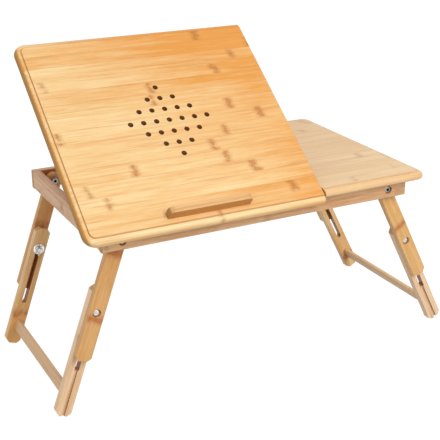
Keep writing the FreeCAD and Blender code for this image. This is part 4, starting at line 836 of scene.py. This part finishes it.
def ear_grid():
    """One wing of a wing nut: an oval section carried outwards and up along a bent path.

    The path leaves the hub and rises with the power 1.5 of the run, the section stays square to it,
    and the oval shrinks to nothing at the rounded tip.
    """
    span, lift = 6.6, 4.6
    run = np.linspace(0.0, 0.998, 16)[:, None]
    angle = np.linspace(0.0, 2 * np.pi, 20, endpoint=False)[None, :]
    out = (2.4 + span * run) * MM
    rise = (3.3 + lift * run ** 1.5) * MM
    slope = lift * 1.5 * run ** 0.5
    length = np.sqrt(span ** 2 + slope ** 2)
    taper = np.sqrt(1 - run ** 7)
    wide = (3.0 - 0.5 * run) * MM * taper
    thick = (1.5 - 0.45 * run) * MM * taper
    out = out - wide * np.cos(angle) * slope / length
    rise = rise + wide * np.cos(angle) * span / length
    return np.stack([out, thick * np.sin(angle), rise], axis=-1)


def wing_nut_grids():
    """A wing nut on Z, base at the origin: a tapered hub with a rounded crown, and two wings.

    The second wing is the first after half a turn.
    """
    radii = np.array([3.0, 4.7, 5.0, 5.0, 4.6, 4.35, 4.2, 3.6, 3.02]) * MM
    rises = np.array([0.0, 0.0, 0.3, 1.2, 1.9, 4.0, 6.3, 6.9, 7.0]) * MM
    return [turned(radii, rises, 40), ear_grid(), ear_grid() * np.array([-1.0, -1.0, 1.0])]


cast = plated("cast wing nuts", tint=(0.60, 0.60, 0.59), shine=0.3, smudge=0.7)
washer_steel = plated("bright washers", tint=(0.78, 0.78, 0.77), shine=0.14, smudge=0.25)
NUT_GAP = 0.1 * MM
# degrees from the leg's direction at which each wing nut came tight
WING_TURNS = {"front_left": 25, "back_left": 5, "front_right": 50, "back_right": -20}
for side, splay in SPLAYS.items():
    for end in ENDS:
        name = f"{end}_{side}"
        upper = f"{side}_upper_legs"
        outward, seat, length = bolt_place(*(np.array(corner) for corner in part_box(f"{name}_clamp_bolt")))
        grid, inside = bolt_grid(length, socket=0.6 * MM, depth=0.02 * MM, thread=16 * MM)
        piece(f"{name}_clamp_bolt_domed", [set_on(grid, seat, (0, outward, 0), spin=0.9)], bright, upper,
              f"{name}_clamp_bolt", [inside])
        low, high = (np.array(corner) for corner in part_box(f"{name}_clamp_washer"))
        grid = washer_grid(high[1] - low[1])
        piece(f"{name}_washer_stamped", [set_on(grid, (seat[0], low[1], seat[2]), (0, 1, 0))],
              washer_steel, upper, f"{name}_clamp_washer")
        # the wings lie along the nut's own X, turned from upright by the leg's splay and its own turn
        base = np.array([seat[0], (low[1] if outward > 0 else high[1]) - outward * NUT_GAP, seat[2]])
        turn = splay + math.radians(WING_TURNS[name])
        wing, inward = np.array([math.sin(turn), 0, math.cos(turn)]), (0, -outward, 0)
        basis = np.array([wing, np.cross(inward, wing), inward])
        piece(f"{name}_wing_nut_cast", [grid @ basis + base for grid in wing_nut_grids()], cast,
              f"{name}_wing", f"{name}_wing_nut")

# ---------------------------------------------------------------------------------------------------
# Drawer.  A shallow box with a solid bamboo front, thin sides, a grooved-in plywood bottom and a
# turned knob.  It runs on the lips of two guides screwed under the fixed top.

dress(bamboo("drawer front bamboo", **RAIL_TONES, along=BACK, across=UP, strip=RAIL_STRIP, gap=0.19,
             seed=7.7, contrast=0.9), "drawer_front")
dress(bamboo("drawer side bamboo", **PLAIN_TONES, along=RIGHT, across=UP, strip=0.02, gap=0.22, seed=6.6,
             coat=0.0), "drawer_front_side", "drawer_back_side", "front_drawer_guide", "back_drawer_guide")
dress(bamboo("drawer back bamboo", **PLAIN_TONES, along=BACK, across=UP, strip=0.02, gap=0.22, seed=5.1,
             coat=0.0), "drawer_back")
dress(bamboo("drawer bottom veneer", pale=(0.80, 0.64, 0.43), deep=(0.68, 0.50, 0.30),
             mark=(0.45, 0.28, 0.14), end=(0.5, 0.34, 0.19), along=BACK, across=RIGHT, strip=0.06,
             gap=0.5, seed=1.3, contrast=0.7, marks=0.1, coat=0.0), "drawer_bottom")
low, high = (np.array(corner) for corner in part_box("drawer_knob"))
knob_long = high[0] - low[0]
KNOB_PROFILE = [(1.55, 0.0), (5.3, 0.0), (5.4, 0.25), (4.9, 1.2), (4.5, 2.6), (4.7, 4.2), (5.9, 5.6),
                (7.3, 6.6), (7.9, 7.8), (8.0, 9.2), (7.8, 10.6), (7.2, 11.9), (6.9, 12.15), (6.6, 12.3),
                (5.8, 12.9), (4.0, 13.5), (2.0, 13.9), (0.6, 14.0)]
knob_radii = [radius * MM for radius, _ in KNOB_PROFILE]
knob_rises = [rise / KNOB_PROFILE[-1][1] * knob_long for _, rise in KNOB_PROFILE]
knob_grid = turned(knob_radii, knob_rises, 56)
knob_wood = bamboo("knob bamboo", pale=(0.80, 0.54, 0.28), deep=(0.64, 0.38, 0.16), mark=(0.38, 0.16, 0.05),
                   end=(0.62, 0.38, 0.18), along=RIGHT, across=UP, strip=0.007, gap=0.2, seed=11.2)
piece("drawer_knob_turned", [set_on(knob_grid, (low[0], *((low + high) / 2)[1:]), (1, 0, 0))], knob_wood,
      "drawer", "drawer_knob")
fit_screws("drawer_guide_screws", (0, 0, -1), "frame")
fit_screws("drawer_knob_screw", (-1, 0, 0), "drawer")

# ---------------------------------------------------------------------------------------------------
# Studio.  A pale sweep, a soft sky, one large soft lamp above the front and a weak fill at the left.


def by_ray(tree, lighting, shown):
    """One shader for the light that reaches the stand, another for the camera and for shiny surfaces."""
    ray = add_node(tree, "LightPath").outputs
    direct = calc(tree, "MAXIMUM", ray["Is Camera Ray"], ray["Is Glossy Ray"])
    both = add_node(tree, "MixShader", Fac=direct)
    put(both.inputs[1], lighting)
    put(both.inputs[2], shown)
    return both.outputs[0]


def stage_material():
    """White to the camera and in reflections, with a faint shadow; duller as a light bouncer."""
    material, tree = new_material("studio sweep")
    matt = add_node(tree, "BsdfDiffuse", Color=(0.26, 0.26, 0.26, 1.0))
    glow = add_node(tree, "Emission", Color=(1.0, 1.0, 1.0, 1.0), Strength=0.88)
    shown = add_node(tree, "AddShader")
    put(shown.inputs[0], matt.outputs[0])
    put(shown.inputs[1], glow.outputs[0])
    dim = add_node(tree, "BsdfDiffuse", Color=(0.42, 0.42, 0.42, 1.0))
    both = by_ray(tree, dim.outputs[0], shown.outputs[0])
    add_node(tree, "OutputMaterial", Surface=both)
    return material


sweep_mesh = bpy.data.meshes.new("studio_floor")
SWEEP = 6.0
sweep_mesh.from_pydata([(-SWEEP, -SWEEP, 0), (SWEEP, -SWEEP, 0), (SWEEP, SWEEP, 0), (-SWEEP, SWEEP, 0)],
                       [], [(0, 1, 2, 3)])
sweep_mesh.materials.append(stage_material())
floor = bpy.data.objects.new("studio_floor", sweep_mesh)
bpy.context.scene.collection.objects.link(floor)

world = bpy.data.worlds.new("studio sky")
bpy.context.scene.world = world
world.use_nodes = True
tree = world.node_tree
tree.nodes.clear()
soft = add_node(tree, "Background", Color=(1.0, 1.0, 1.0, 1.0), Strength=0.62)
white = add_node(tree, "Background", Color=(1.0, 1.0, 1.0, 1.0), Strength=1.0)
add_node(tree, "OutputWorld", Surface=by_ray(tree, soft.outputs[0], white.outputs[0]))

TARGET = Vector((0.0, 0.0, 0.25))


def soft_lamp(name, place, size, power):
    """A square soft lamp that points at the middle of the stand."""
    lamp = bpy.data.lights.new(name, "AREA")
    lamp.size = size
    lamp.energy = power
    made = bpy.data.objects.new(name, lamp)
    made.location = place
    made.rotation_euler = (TARGET - Vector(place)).to_track_quat("-Z", "Y").to_euler()
    bpy.context.scene.collection.objects.link(made)


soft_lamp("key lamp", (0.5, -2.0, 1.75), 1.5, 31)
soft_lamp("fill lamp", (-1.9, -1.2, 0.9), 1.2, 6)

# The camera stands to the left of the front and looks down.
camera_data = bpy.data.cameras.new("camera")
camera_data.sensor_width = 36.0
camera_data.lens = 81.12
camera = bpy.data.objects.new("camera", camera_data)
camera.location = (-0.6865, -1.2847, 0.7674)
camera.rotation_euler = (math.radians(90 - 21.513), 0.0, math.radians(-27.661))
bpy.context.scene.collection.objects.link(camera)
bpy.context.scene.camera = camera
bpy.context.scene.view_settings.view_transform = "Standard"
